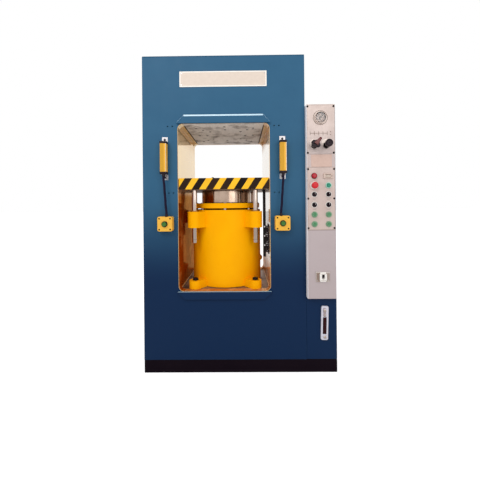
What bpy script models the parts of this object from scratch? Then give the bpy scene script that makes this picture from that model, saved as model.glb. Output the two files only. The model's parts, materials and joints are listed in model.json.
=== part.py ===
"""Up-stroking hydraulic press with a plate frame, guided platen and side console.

Units are metres. X runs to the operator's right, Y runs away from the operator
and Z runs up. While the pieces are made, X = 0 is the middle of the window,
Y = 0 is the face of the front frame plate and Z = 0 is the floor. The finished
press is then moved so that the middle of its footprint is the origin.
"""

from math import cos, pi, radians, sin

import bmesh
import bpy
from mathutils import Matrix, Vector

# Fits that the whole machine shares
SEAT_GAP = 0.0003
RUNNING_GAP = 0.0005
CUT_OVERRUN = 0.004
SHARP_ANGLE = radians(35)

# Plate frame with its window
FRAME_WIDTH = 0.942
FRAME_HEIGHT = 1.834
FRAME_DEPTH = 0.560
FRAME_PLATE = 0.045
WINDOW_WIDTH = 0.531
WINDOW_SILL = 0.473
HEADER_HEIGHT = 0.389
WINDOW_CORNER = 0.030
PLINTH_HEIGHT = 0.075
PLINTH_INSET = 0.002
PLINTH_BEVEL = 0.004
PLATE_BEVEL = 0.002

# Walls, panels and the roof sheet
WALL_THICKNESS = 0.012
WALL_TOP_FLANGE = 0.027
SIDE_PANEL = 0.010
SIDE_DOOR = 0.004
SIDE_DOOR_BOTTOM = 0.558
SIDE_DOOR_HEIGHT = 0.343
SIDE_DOOR_MARGIN = 0.050
SIDE_COVER_HEIGHT = 0.110
ROOF_SHEET = 0.006
NAME_PLATE_WIDTH = 0.505
NAME_PLATE_HEIGHT = 0.090
NAME_PLATE_DROP = 0.086
NAME_PLATE_THICKNESS = 0.002

# Bolsters and the keeper plates on their ends
BOLSTER_SIDE_GAP = 0.0035
UPPER_BOLSTER_NOTCH = 0.040
UPPER_BOLSTER_HEIGHT = 0.250
UPPER_BOLSTER_CLEARANCE = 0.046
LOWER_BOLSTER_HEIGHT = 0.200
KEEPER_THICKNESS = 0.014
UPPER_KEEPER_HEIGHT = 0.049
LOWER_KEEPER_HEIGHT = 0.046
KEEPER_OVERLAP = 0.005
KEEPER_CHAMFER = 0.042
KEEPER_REGISTER = 0.004
TAPPED_HOLE = 0.016
TAPPED_DEPTH = 0.025
DIAGONAL_RADII = (0.139, 0.197, 0.250)
SIDE_RADII = (0.130, 0.182)
DEPTH_RADII = (0.143, 0.209)

# Cylinder casting
BARREL_RADIUS = 0.226
BORE_RADIUS = 0.172
BARREL_HEIGHT = 0.469
BARREL_FLOOR = 0.060
BARREL_EDGE = 0.006
ROD_SPACING_X = 0.368
ROD_EDGE_INSET = 0.071
LUG_RADIUS = 0.041
LUG_HEIGHT = 0.097
LUG_DROP = 0.009
PAD_ROOT_WALL = 0.008
LUG_EDGE = 0.004
FOOT_SPACING_X = 0.360
FOOT_EDGE_INSET = 0.066
FOOT_RADIUS = 0.038
FOOT_HEIGHT = 0.047
FOOT_BOLT_RADIUS = 0.0175
FOOT_BOLT_SINK = 0.012
BUSH_COLLAR_RADIUS = 0.026
BUSH_COLLAR_HEIGHT = 0.006
PORT_DROP = 0.330
PORT_RADIUS = 0.017
PORT_LENGTH = 0.008

# Gland, ram and platen
GLAND_RADIUS = 0.221
GLAND_THICKNESS = 0.032
GLAND_STANDOFF = 0.009
GLAND_SPIGOT = 0.042
GLAND_STUDS = 8
GLAND_STUD_CIRCLE = 0.205
GLAND_STUD_RADIUS = 0.009
GLAND_LIP_RADIUS = 0.176
GLAND_LIP_HEIGHT = 0.004
RAM_RADIUS = 0.1625
RAM_PISTON_HEIGHT = 0.090
RAM_FLOOR_CLEARANCE = 0.075
RAM_EDGE = 0.004
PLATEN_CLEARANCE = 0.003
PLATEN_THICKNESS = 0.066
PLATEN_REST = 1.064
PLATEN_BEVEL = 0.003
ROD_RADIUS = 0.016
ROD_LENGTH = 0.320
ROD_EDGE = 0.003
SPIGOT_RADIUS = 0.012
SPIGOT_LENGTH = 0.020

# Striker bar and the limit switches on the right wall
STRIKER_WIDTH = 0.0165
STRIKER_THICKNESS = 0.010
STRIKER_LENGTH = 0.410
STRIKER_CENTRE_X = 0.2399
STRIKER_CENTRE_Y = 0.090
STRIKER_FOOT_LENGTH = 0.070
STRIKER_FOOT_THICKNESS = 0.008
STRIKER_DOG_LENGTH = 0.030
STRIKER_DOG_RISE = 0.003
SWITCH_COUNT = 3
SWITCH_PITCH = 0.056
SWITCH_TOP = 0.838
SWITCH_WIDTH = 0.013
SWITCH_DEPTH = 0.038
SWITCH_HEIGHT = 0.046
SWITCH_RAIL = 0.003
SWITCH_RAIL_MARGIN = 0.012
LEVER_THICKNESS = 0.004
LEVER_WIDTH = 0.008
LEVER_REACH = 0.026
LEVER_LEAN = radians(40)
LEVER_GAP = 0.0004
LEVER_CLEARANCE = 0.002
ROLLER_RADIUS = 0.008
ROLLER_WIDTH = 0.006

# Light curtains, their leads and the two hand boxes
CURTAIN_SPACING = 0.680
CURTAIN_WIDTH = 0.040
CURTAIN_DEPTH = 0.036
CURTAIN_LENGTH = 0.187
CURTAIN_BOTTOM = 1.150
CURTAIN_CAP = 0.012
CURTAIN_CAP_STEP = 0.0015
CURTAIN_STANDOFF = 0.010
CURTAIN_EDGE = 0.003
BRACKET_WIDTH = 0.034
BRACKET_LENGTH = 0.031
BRACKET_SHEET = 0.003
BRACKET_SCREW_RADIUS = 0.006
BRACKET_SCREW_HEIGHT = 0.004
LEAD_RADIUS = 0.0065
LEAD_GLAND_RADIUS = 0.009
LEAD_GLAND_LENGTH = 0.014
LEAD_BOW = 0.002
LEAD_POINTS = 13
HAND_BOX_SPACING = 0.668
HAND_GLAND_INSET = 0.009
HAND_BOX_SIZE = 0.084
HAND_BOX_BOTTOM = 0.825
HAND_BOX_DEPTH = 0.044
HAND_BOX_CORNER = 0.010
HAND_LID_THICKNESS = 0.010
HAND_LID_GROOVE = 0.0015
HAND_BEZEL_RADIUS = 0.017
HAND_BEZEL_HEIGHT = 0.006
HAND_BUTTON_RADIUS = 0.0125
HAND_BUTTON_HEIGHT = 0.016
HAND_BUTTON_TRAVEL = 0.006

# Side cabinet, console box and the oil level gauge
CABINET_WIDTH = 0.1755
CABINET_HEIGHT = 1.465
CABINET_BEVEL = 0.002
CONSOLE_WIDTH = 0.1615
CONSOLE_BOTTOM = 0.437
CONSOLE_HEIGHT = 1.100
CONSOLE_DEPTH = 0.038
CONSOLE_BEVEL = 0.0025
PANEL_MARGIN = 0.0025
PANEL_THICKNESS = 0.002
PANEL_DROP = 0.357
PANEL_HEIGHT = 0.352
LEVEL_WIDTH = 0.041
LEVEL_HEIGHT = 0.194
LEVEL_RISE = 0.117
LEVEL_THICKNESS = 0.012
LEVEL_OFFSET = 0.021
LEVEL_TILT = radians(1.5)
LEVEL_WINDOW_WIDTH = 0.021
LEVEL_WINDOW_HEIGHT = 0.096
LEVEL_WINDOW_DEPTH = 0.008
LEVEL_WINDOW_DROP = 0.015
LEVEL_BOLT_RADIUS = 0.009
LEVEL_BOLT_HEIGHT = 0.006
LEVEL_BOLT_SPACING = 0.150
LEVEL_GLASS_GAP = 0.0004

# Operating parts on the console, heights measured from the bottom of their panel
COLUMN_SPACING = 0.080
PILOT_RISE = 0.304
STOP_RISE = 0.250
SELECTOR_RISES = (0.200, 0.141)
BUTTON_RISES = (0.086, 0.032)
BEZEL_RADIUS = 0.0165
BEZEL_HEIGHT = 0.004
BEZEL_WALL = 0.0035
BUTTON_GAP = 0.0005
BUTTON_FLOOR = 0.001
BUTTON_HEIGHT = 0.0115
BUTTON_TRAVEL = 0.004
BUTTON_EDGE = 0.0015
SELECTOR_RADIUS = 0.0135
SELECTOR_BASE = 0.006
SELECTOR_GRIP_WIDTH = 0.008
SELECTOR_GRIP_HEIGHT = 0.013
STOP_HEAD_RADIUS = 0.019
STOP_HEAD_HEIGHT = 0.012
STOP_STEM_RADIUS = 0.0115
STOP_STEM_HEIGHT = 0.013
STOP_TRAVEL = 0.005
PILOT_RADIUS = 0.0145
PILOT_PROUD = 0.012
PILOT_COLLAR_RADIUS = 0.0175
PILOT_COLLAR_HEIGHT = 0.003
COUNTER_OFFSET = 0.037
COUNTER_RISE = 0.3025
COUNTER_WIDTH = 0.050
COUNTER_HEIGHT = 0.029
COUNTER_THICKNESS = 0.007
COUNTER_WINDOW_SHARE = 0.62
COUNTER_WINDOW_DEPTH = 0.003

# Pressure gauge, measured from the top of the console
GAUGE_OFFSET = -0.003
GAUGE_DROP = 0.077
GAUGE_FLANGE_RADIUS = 0.041
GAUGE_FLANGE_HEIGHT = 0.003
GAUGE_RING_RADIUS = 0.0325
GAUGE_RING_HEIGHT = 0.014
GAUGE_DIAL_RADIUS = 0.0285
GAUGE_DIAL_DEPTH = 0.010
GAUGE_GLASS = 0.0015
GAUGE_GLASS_SINK = 0.001
GAUGE_PIN_RADIUS = 0.0016
NEEDLE_HUB_RADIUS = 0.0042
NEEDLE_HUB_HOLE_GAP = 0.0004
NEEDLE_LENGTH = 0.022
NEEDLE_TAIL = 0.008
NEEDLE_WIDTH = 0.0026
NEEDLE_THICKNESS = 0.0016
NEEDLE_LIFT = 0.0015
NEEDLE_REST = radians(-40)

# Valves below the gauge, measured from the top of the console
LEFT_VALVE_OFFSET = -0.038
RIGHT_VALVE_OFFSET = 0.029
VALVE_DROP = 0.231
VALVE_NUT_RADIUS = 0.017
VALVE_NUT_HEIGHT = 0.012
VALVE_NUT_SIDES = 6
VALVE_NECK_RADIUS = 0.009
VALVE_NECK_HEIGHT = 0.018
VALVE_KNOB_GAP = 0.0006
ROUND_KNOB_RADIUS = 0.021
ROUND_KNOB_HEIGHT = 0.034
ROUND_KNOB_EDGE = 0.003
ROUND_KNOB_DISH = 0.006
STAR_KNOB_RADIUS = 0.016
STAR_KNOB_HEIGHT = 0.030
STAR_LOBES = 3
STAR_LOBE_RADIUS = 0.0095
LEVER_HANDLE_LENGTH = 0.040
LEVER_HANDLE_BIG = 0.012
LEVER_HANDLE_SMALL = 0.006
LEVER_HANDLE_TURN = radians(40)

# Circuit breaker in its cut-out, measured from the bottom of the console
BREAKER_OFFSET = 0.0035
BREAKER_RISE = 0.1255
BREAKER_WIDTH = 0.077
BREAKER_HEIGHT = 0.055
BREAKER_PROUD = 0.009
BREAKER_FACE_WIDTH = 0.040
BREAKER_FACE_HEIGHT = 0.036
BREAKER_FACE_PROUD = 0.006
BREAKER_SLOT_WIDTH = 0.014
BREAKER_SLOT_HEIGHT = 0.022
BREAKER_SLOT_DEPTH = 0.012
TOGGLE_WIDTH = 0.010
TOGGLE_BARREL_RADIUS = 0.0048
TOGGLE_LENGTH = 0.014
TOGGLE_THICKNESS = 0.005
TOGGLE_REST = radians(25)

# Facets of round forms
LARGE_ROUND = 48
MIDDLE_ROUND = 24
SMALL_ROUND = 16
TINY_ROUND = 10

# Places that several pieces share
AXIS_Y = FRAME_DEPTH / 2
HALF_WINDOW = WINDOW_WIDTH / 2
ROD_SPACING_Y = FRAME_DEPTH - 2 * ROD_EDGE_INSET
FOOT_SPACING_Y = FRAME_DEPTH - 2 * FOOT_EDGE_INSET
CEILING = FRAME_HEIGHT - HEADER_HEIGHT
HALF_BOLSTER = HALF_WINDOW - WALL_TOP_FLANGE - BOLSTER_SIDE_GAP
BARREL_BOTTOM = WINDOW_SILL + SEAT_GAP
BARREL_TOP = WINDOW_SILL + BARREL_HEIGHT
GLAND_BOTTOM = BARREL_TOP + GLAND_STANDOFF
GLAND_TOP = GLAND_BOTTOM + GLAND_THICKNESS
LUG_TOP = BARREL_TOP - LUG_DROP
PLATEN_TOP = PLATEN_REST + PLATEN_THICKNESS
CABINET_LEFT = FRAME_WIDTH / 2 + SEAT_GAP
CABINET_TOP = PLINTH_HEIGHT + CABINET_HEIGHT
CONSOLE_FACE = -CONSOLE_DEPTH
CONSOLE_CENTRE_X = CABINET_LEFT + CONSOLE_WIDTH / 2
PANEL_FACE = CONSOLE_FACE - PANEL_THICKNESS
COLUMNS = (CONSOLE_CENTRE_X - COLUMN_SPACING / 2, CONSOLE_CENTRE_X + COLUMN_SPACING / 2)
CONSOLE_TOP = CONSOLE_BOTTOM + CONSOLE_HEIGHT
PANEL_BOTTOM = CONSOLE_TOP - PANEL_DROP - PANEL_HEIGHT
LEVEL_CENTRE_X = CONSOLE_CENTRE_X + LEVEL_OFFSET
LEVEL_BOTTOM = PLINTH_HEIGHT + LEVEL_RISE
PILOT_ROW = PANEL_BOTTOM + PILOT_RISE
STOP_ROW = PANEL_BOTTOM + STOP_RISE
SELECTOR_ROWS = [PANEL_BOTTOM + rise for rise in SELECTOR_RISES]
BUTTON_ROWS = [PANEL_BOTTOM + rise for rise in BUTTON_RISES]
COUNTER_CENTRE_X = CONSOLE_CENTRE_X + COUNTER_OFFSET
COUNTER_CENTRE_Z = PANEL_BOTTOM + COUNTER_RISE
GAUGE_CENTRE_X = CONSOLE_CENTRE_X + GAUGE_OFFSET
GAUGE_CENTRE_Z = CONSOLE_TOP - GAUGE_DROP
LEFT_VALVE_X = CONSOLE_CENTRE_X + LEFT_VALVE_OFFSET
RIGHT_VALVE_X = CONSOLE_CENTRE_X + RIGHT_VALVE_OFFSET
VALVE_Z = CONSOLE_TOP - VALVE_DROP
BREAKER_CENTRE_X = CONSOLE_CENTRE_X + BREAKER_OFFSET
BREAKER_CENTRE_Z = CONSOLE_BOTTOM + BREAKER_RISE
TO_OPERATOR = Vector((0, -1, 0))
UP = Vector((0, 0, 1))


def clear_scene():
    """Remove whatever the file held before."""
    for thing in list(bpy.data.objects):
        bpy.data.objects.remove(thing, do_unlink=True)


def make_collection(name):
    """Return a new collection in the scene."""
    collection = bpy.data.collections.new(name)
    bpy.context.scene.collection.children.link(collection)
    return collection


def make_material(name, colour, roughness, metallic=0.0):
    """Return a Principled material for one piece."""
    material = bpy.data.materials.new(name)
    material.use_nodes = True
    shader = material.node_tree.nodes["Principled BSDF"]
    shader.inputs["Base Color"].default_value = (*colour, 1.0)
    shader.inputs["Roughness"].default_value = roughness
    shader.inputs["Metallic"].default_value = metallic
    return material


FINISHES = {
    "press_blue": ((0.02, 0.13, 0.27), 0.35, 0.0),
    "plinth_black": ((0.012, 0.008, 0.012), 0.5, 0.0),
    "wall_gold": ((0.75, 0.37, 0.06), 0.15, 0.0),
    "machined_steel": ((0.42, 0.42, 0.40), 0.35, 1.0),
    "cast_yellow": ((0.95, 0.48, 0.0), 0.35, 0.0),
    "chrome": ((0.75, 0.75, 0.76), 0.08, 1.0),
    "platen_yellow": ((0.90, 0.55, 0.02), 0.4, 0.0),
    "black_steel": ((0.015, 0.014, 0.018), 0.4, 0.6),
    "switch_black": ((0.02, 0.02, 0.022), 0.5, 0.0),
    "curtain_yellow": ((0.93, 0.60, 0.02), 0.4, 0.0),
    "lead_black": ((0.02, 0.012, 0.025), 0.5, 0.0),
    "box_yellow": ((0.93, 0.58, 0.03), 0.4, 0.0),
    "stainless": ((0.62, 0.58, 0.55), 0.35, 1.0),
    "button_green": ((0.02, 0.42, 0.14), 0.3, 0.0),
    "button_red": ((0.75, 0.03, 0.03), 0.3, 0.0),
    "glass": ((0.85, 0.90, 0.90), 0.05, 0.0),
    "oil_red": ((0.22, 0.01, 0.02), 0.15, 0.0),
    "white_plastic": ((0.80, 0.80, 0.78), 0.4, 0.0),
    "grey_plastic": ((0.25, 0.25, 0.26), 0.5, 0.0),
}


def finish_piece(piece, finish, collection, smooth=False):
    """Name the mesh, give the piece its own material and put it in its collection."""
    piece.data.name = piece.name
    if finish:
        colour, roughness, metallic = FINISHES[finish]
        piece.data.materials.clear()
        piece.data.materials.append(make_material(piece.name + "_" + finish, colour, roughness, metallic))
    collection.objects.link(piece)
    if smooth:
        piece.data.shade_smooth()
        piece.data.set_sharp_from_angle(angle=SHARP_ANGLE)
    return piece


def as_object(name, form, origin=(0, 0, 0)):
    """Turn a bmesh that is written in machine places into an object with this origin."""
    bmesh.ops.translate(form, verts=form.verts, vec=-Vector(origin))
    bmesh.ops.recalc_face_normals(form, faces=form.faces)
    mesh = bpy.data.meshes.new(name)
    form.to_mesh(mesh)
    form.free()
    piece = bpy.data.objects.new(name, mesh)
    piece.location = origin
    return piece


def add_box(form, low, high):
    """Add a box between two corners to a bmesh and return its vertices."""
    low, high = Vector(low), Vector(high)
    made = bmesh.ops.create_cube(form, size=1.0)["verts"]
    bmesh.ops.scale(form, verts=made, vec=high - low)
    bmesh.ops.translate(form, verts=made, vec=(low + high) / 2)
    return made


def turn_to(axis):
    """Return the rotation that carries +Z onto an axis."""
    return Vector((0, 0, 1)).rotation_difference(Vector(axis)).to_matrix().to_4x4()


def add_rod(form, start, axis, radius, length, segments, end_radius=None):
    """Add a cylinder or cone from a start point along an axis."""
    top = radius if end_radius is None else end_radius
    made = bmesh.ops.create_cone(
        form, cap_ends=True, segments=segments, radius1=radius, radius2=top, depth=length
    )["verts"]
    bmesh.ops.translate(form, verts=made, vec=(0, 0, length / 2))
    bmesh.ops.transform(form, verts=made, matrix=Matrix.Translation(start) @ turn_to(axis))
    return made


def add_pad(form, centre, radius, bottom, height, segments):
    """Add an upright pad: round at its centre and carried straight into the barrel's wall."""
    inward = (-centre[0], AXIS_Y - centre[1])
    reach = Vector(inward).length - radius - BORE_RADIUS - PAD_ROOT_WALL
    made = bmesh.ops.create_cone(
        form, cap_ends=True, segments=segments, radius1=radius, radius2=radius, depth=height
    )["verts"]
    flat_side = radius / segments
    inner = [corner for corner in made if corner.co.x < -flat_side]
    bmesh.ops.translate(form, verts=inner, vec=(-reach, 0, 0))
    heading = Vector((-inward[0], -inward[1], 0)).normalized()
    turn = Matrix(((heading.x, -heading.y, 0, 0), (heading.y, heading.x, 0, 0), (0, 0, 1, 0), (0, 0, 0, 1)))
    place = Matrix.Translation((centre[0], centre[1], bottom + height / 2))
    bmesh.ops.transform(form, verts=made, matrix=place @ turn)
    return made


def bevel_edges(form, edges, width, segments=1):
    """Round or chamfer some edges of a bmesh."""
    bmesh.ops.bevel(
        form, geom=list(edges), offset=width, segments=segments, profile=0.5,
        affect="EDGES", clamp_overlap=True,
    )


def box_piece(name, low, high, finish, bevel=0.0, origin=(0, 0, 0)):
    """Make a box with softened edges."""
    form = bmesh.new()
    add_box(form, low, high)
    if bevel:
        bevel_edges(form, form.edges, bevel)
    return finish_piece(as_object(name, form, origin), finish, PARTS)


def turned_piece(name, profile, finish, steps, origin=(0, 0, 0), axis=UP, collection=None):
    """Turn a closed or axis-to-axis profile of (radius, height) points about an axis."""
    mesh = bpy.data.meshes.new(name)
    edges = [(index, index + 1) for index in range(len(profile) - 1)]
    if profile[0][0] > 0:
        edges.append((len(profile) - 1, 0))
    mesh.from_pydata([(radius, 0, height) for radius, height in profile], edges, [])
    piece = bpy.data.objects.new(name, mesh)
    piece.location = origin
    piece.rotation_mode = "QUATERNION"
    piece.rotation_quaternion = turn_to(axis).to_quaternion()
    screw = piece.modifiers.new("turn", "SCREW")
    screw.steps = steps
    screw.render_steps = steps
    screw.use_merge_vertices = True
    screw.merge_threshold = SEAT_GAP / 10
    screw.use_smooth_shade = True
    finish_piece(piece, finish, collection or PARTS)
    return piece


def flat_mesh(name, outlines, thickness):
    """Fill outlines in the XZ plane and give the sheet a thickness along Y, as a mesh object."""
    curve = bpy.data.curves.new(name, "CURVE")
    curve.dimensions = "2D"
    curve.fill_mode = "BOTH"
    curve.extrude = thickness / 2
    for outline in outlines:
        spline = curve.splines.new("POLY")
        spline.points.add(len(outline) - 1)
        for point, (across, up) in zip(spline.points, outline):
            point.co = (across, up, 0, 1)
        spline.use_cyclic_u = True
    source = bpy.data.objects.new(name + "_outline", curve)
    bpy.context.scene.collection.objects.link(source)
    bpy.context.view_layer.update()
    mesh = bpy.data.meshes.new_from_object(source.evaluated_get(bpy.context.evaluated_depsgraph_get()))
    bpy.data.objects.remove(source, do_unlink=True)
    form = bmesh.new()
    form.from_mesh(mesh)
    bmesh.ops.remove_doubles(form, verts=form.verts, dist=SEAT_GAP / 10)
    bmesh.ops.rotate(form, verts=form.verts, cent=(0, 0, 0), matrix=Matrix.Rotation(pi / 2, 3, "X"))
    bpy.data.meshes.remove(mesh)
    return form


def rounded_outline(left, bottom, right, top, radius, steps):
    """Return the points of a rectangle with round corners."""
    corners = (
        (right - radius, bottom + radius, -pi / 2),
        (right - radius, top - radius, 0.0),
        (left + radius, top - radius, pi / 2),
        (left + radius, bottom + radius, pi),
    )
    points = []
    for across, up, start in corners:
        for step in range(steps + 1):
            angle = start + step * pi / 2 / steps
            points.append((across + radius * cos(angle), up + radius * sin(angle)))
    return points


def boolean(piece, cutter, operation):
    """Join or cut one piece with a cutter that stays outside the model."""
    cutter.hide_render = True
    cutter.display_type = "WIRE"
    modifier = piece.modifiers.new(cutter.name, "BOOLEAN")
    modifier.operation = operation
    modifier.solver = "EXACT"
    modifier.object = cutter


def cutter_from(name, form):
    """Keep a bmesh in machine places as a cutter."""
    cutter = as_object(name, form)
    CUTTERS.objects.link(cutter)
    return cutter


def tube_piece(name, points, radius, finish):
    """Lead a round tube through a list of points."""
    curve = bpy.data.curves.new(name, "CURVE")
    curve.dimensions = "3D"
    curve.bevel_depth = radius
    curve.bevel_resolution = 2
    curve.use_fill_caps = True
    spline = curve.splines.new("POLY")
    spline.points.add(len(points) - 1)
    for point, place in zip(spline.points, points):
        point.co = (*place, 1)
    piece = bpy.data.objects.new(name, curve)
    return finish_piece(piece, finish, PARTS)


def rod_places(spacing_x, spacing_y):
    """Return the four corners of a pattern round the cylinder's axis."""
    return [
        (side * spacing_x / 2, AXIS_Y + end * spacing_y / 2)
        for end in (-1, 1)
        for side in (-1, 1)
    ]


def make_frame_plate(name, front_face, keepers_outward=None):
    """Make one window plate; the rear one carries its own keeper plates."""
    half = FRAME_WIDTH / 2
    outer = [
        (-half, PLINTH_HEIGHT + SEAT_GAP), (half, PLINTH_HEIGHT + SEAT_GAP),
        (half, FRAME_HEIGHT), (-half, FRAME_HEIGHT),
    ]
    notch_half = HALF_BOLSTER + SEAT_GAP
    notch_top = CEILING + UPPER_BOLSTER_NOTCH + SEAT_GAP
    corner = min(WINDOW_CORNER, HALF_WINDOW - notch_half - SEAT_GAP)
    window = rounded_outline(-HALF_WINDOW, WINDOW_SILL, HALF_WINDOW, CEILING, corner, 4)
    top_right = len(window) // 2
    notch = [
        (notch_half, CEILING), (notch_half, notch_top),
        (-notch_half, notch_top), (-notch_half, CEILING),
    ]
    window = window[:top_right] + notch + window[top_right:]
    form = flat_mesh(name, [outer, window], FRAME_PLATE)
    bmesh.ops.translate(form, verts=form.verts, vec=(0, front_face + FRAME_PLATE / 2, 0))
    plate = as_object(name, form)
    finish_piece(plate, "press_blue", PARTS)
    if keepers_outward:
        face = front_face + FRAME_PLATE
        for label, outline in keeper_outlines().items():
            cutter_form = flat_mesh(name + "_" + label, [outline], KEEPER_THICKNESS + KEEPER_REGISTER)
            middle = face + (KEEPER_THICKNESS - KEEPER_REGISTER) / 2
            bmesh.ops.translate(cutter_form, verts=cutter_form.verts, vec=(0, middle, 0))
            boolean(plate, cutter_from(name + "_" + label, cutter_form), "UNION")
    return plate


def keeper_outlines():
    """Return the chamfered outlines of the upper and lower keeper plates."""
    wide = HALF_WINDOW + KEEPER_OVERLAP
    narrow = wide - KEEPER_CHAMFER
    upper_top = CEILING + UPPER_KEEPER_HEIGHT
    lower_bottom = WINDOW_SILL - LOWER_KEEPER_HEIGHT
    upper_chamfer = UPPER_KEEPER_HEIGHT - KEEPER_OVERLAP
    lower_chamfer = LOWER_KEEPER_HEIGHT - KEEPER_OVERLAP
    return {
        "upper": [
            (-wide, CEILING), (wide, CEILING), (wide, upper_top - upper_chamfer),
            (narrow, upper_top), (-narrow, upper_top), (-wide, upper_top - upper_chamfer),
        ],
        "lower": [
            (-wide, WINDOW_SILL), (-wide, lower_bottom + lower_chamfer), (-narrow, lower_bottom),
            (narrow, lower_bottom), (wide, lower_bottom + lower_chamfer), (wide, WINDOW_SILL),
        ],
    }


def make_front_keepers():
    """Make the two keeper plates that stand proud of the front plate."""
    for label, outline in keeper_outlines().items():
        name = label + "_front_keeper"
        form = flat_mesh(name, [outline], KEEPER_THICKNESS)
        bmesh.ops.translate(form, verts=form.verts, vec=(0, -KEEPER_THICKNESS / 2 - SEAT_GAP, 0))
        finish_piece(as_object(name, form), "press_blue", PARTS)


def make_walls_and_panels():
    """Make the inner walls, the side panels, the roof sheet, the plinth and the bare name plate."""
    front = FRAME_PLATE + SEAT_GAP
    back = FRAME_DEPTH - FRAME_PLATE - SEAT_GAP
    for side, label in ((-1, "left"), (1, "right")):
        inner = side * HALF_WINDOW
        outer = side * (HALF_WINDOW + WALL_THICKNESS)
        flange = side * (HALF_WINDOW - WALL_TOP_FLANGE)
        outline = [
            (outer, WINDOW_SILL), (inner, WINDOW_SILL), (inner, CEILING),
            (flange, CEILING), (flange, CEILING + WALL_THICKNESS), (outer, CEILING + WALL_THICKNESS),
        ]
        name = label + "_inner_wall"
        form = flat_mesh(name, [outline], back - front)
        bmesh.ops.translate(form, verts=form.verts, vec=(0, AXIS_Y, 0))
        finish_piece(as_object(name, form), "wall_gold", PARTS)

        far = side * FRAME_WIDTH / 2
        near = side * (FRAME_WIDTH / 2 - SIDE_PANEL)
        form = bmesh.new()
        add_box(
            form,
            (min(near, far), front, PLINTH_HEIGHT + SEAT_GAP),
            (max(near, far), back, FRAME_HEIGHT),
        )
        panel = finish_piece(as_object(label + "_side_panel", form), "press_blue", PARTS)
        if side < 0:
            raised = bmesh.new()
            door_front = front + SIDE_DOOR_MARGIN
            door_back = back - SIDE_DOOR_MARGIN
            door_top = SIDE_DOOR_BOTTOM + SIDE_DOOR_HEIGHT
            cover_bottom = PLINTH_HEIGHT + SIDE_DOOR_MARGIN / 2
            add_box(raised, (far - SIDE_DOOR, door_front, SIDE_DOOR_BOTTOM), (near, door_back, door_top))
            add_box(
                raised,
                (far - SIDE_DOOR, door_front, cover_bottom),
                (near, door_back, cover_bottom + SIDE_COVER_HEIGHT),
            )
            boolean(panel, cutter_from("left_side_doors", raised), "UNION")

    half = FRAME_WIDTH / 2
    box_piece(
        "top_cover", (-half, 0, FRAME_HEIGHT + SEAT_GAP),
        (half, FRAME_DEPTH, FRAME_HEIGHT + SEAT_GAP + ROOF_SHEET), "press_blue", PLATE_BEVEL,
    )
    box_piece(
        "base_plinth", (-half, PLINTH_INSET, 0),
        (CABINET_LEFT + CABINET_WIDTH, FRAME_DEPTH - PLINTH_INSET, PLINTH_HEIGHT),
        "plinth_black", PLINTH_BEVEL,
    )
    plate_top = FRAME_HEIGHT - NAME_PLATE_DROP
    box_piece(
        "name_plate",
        (-NAME_PLATE_WIDTH / 2, -SEAT_GAP - NAME_PLATE_THICKNESS, plate_top - NAME_PLATE_HEIGHT),
        (NAME_PLATE_WIDTH / 2, -SEAT_GAP, plate_top), "white_plastic",
    )


def make_upper_bolster():
    """Make the stepped upper bolster with the tapped holes in its machined underside."""
    lower = bmesh.new()
    half = HALF_BOLSTER
    slab_back = FRAME_DEPTH - KEEPER_REGISTER - SEAT_GAP
    add_box(lower, (-half, SEAT_GAP, CEILING), (half, slab_back, CEILING + UPPER_BOLSTER_NOTCH))
    bolster = finish_piece(as_object("upper_bolster", lower), "machined_steel", PARTS)
    front = FRAME_PLATE + SEAT_GAP
    back = FRAME_DEPTH - FRAME_PLATE - SEAT_GAP
    shoulder = FRAME_WIDTH / 2 - SIDE_PANEL - UPPER_BOLSTER_CLEARANCE
    upper = bmesh.new()
    add_box(
        upper,
        (-shoulder, front, CEILING + UPPER_BOLSTER_NOTCH - CUT_OVERRUN),
        (shoulder, back, CEILING + UPPER_BOLSTER_HEIGHT),
    )
    boolean(bolster, cutter_from("upper_bolster_body", upper), "UNION")
    holes = bmesh.new()
    for place in bolster_holes():
        start = (place[0], AXIS_Y + place[1], CEILING - CUT_OVERRUN)
        add_rod(holes, start, UP, TAPPED_HOLE / 2, TAPPED_DEPTH + CUT_OVERRUN, TINY_ROUND)
    boolean(bolster, cutter_from("upper_bolster_holes", holes), "DIFFERENCE")


def bolster_holes():
    """Return where the tapped holes lie, from the cylinder's axis."""
    places = []
    for radius in DIAGONAL_RADII:
        for corner in range(4):
            angle = pi / 4 + corner * pi / 2
            places.append((radius * cos(angle), radius * sin(angle)))
    for side in (-1, 1):
        places.extend((side * radius, 0.0) for radius in SIDE_RADII)
        places.extend((0.0, side * radius) for radius in DEPTH_RADII)
    return places


def make_lower_bolster():
    """Make the bolster that the cylinder stands on."""
    box_piece(
        "lower_bolster",
        (-HALF_WINDOW - WALL_THICKNESS, FRAME_PLATE + SEAT_GAP, WINDOW_SILL - LOWER_BOLSTER_HEIGHT),
        (HALF_WINDOW + WALL_THICKNESS, FRAME_DEPTH - FRAME_PLATE - SEAT_GAP, WINDOW_SILL - SEAT_GAP),
        "machined_steel",
    )


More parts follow.
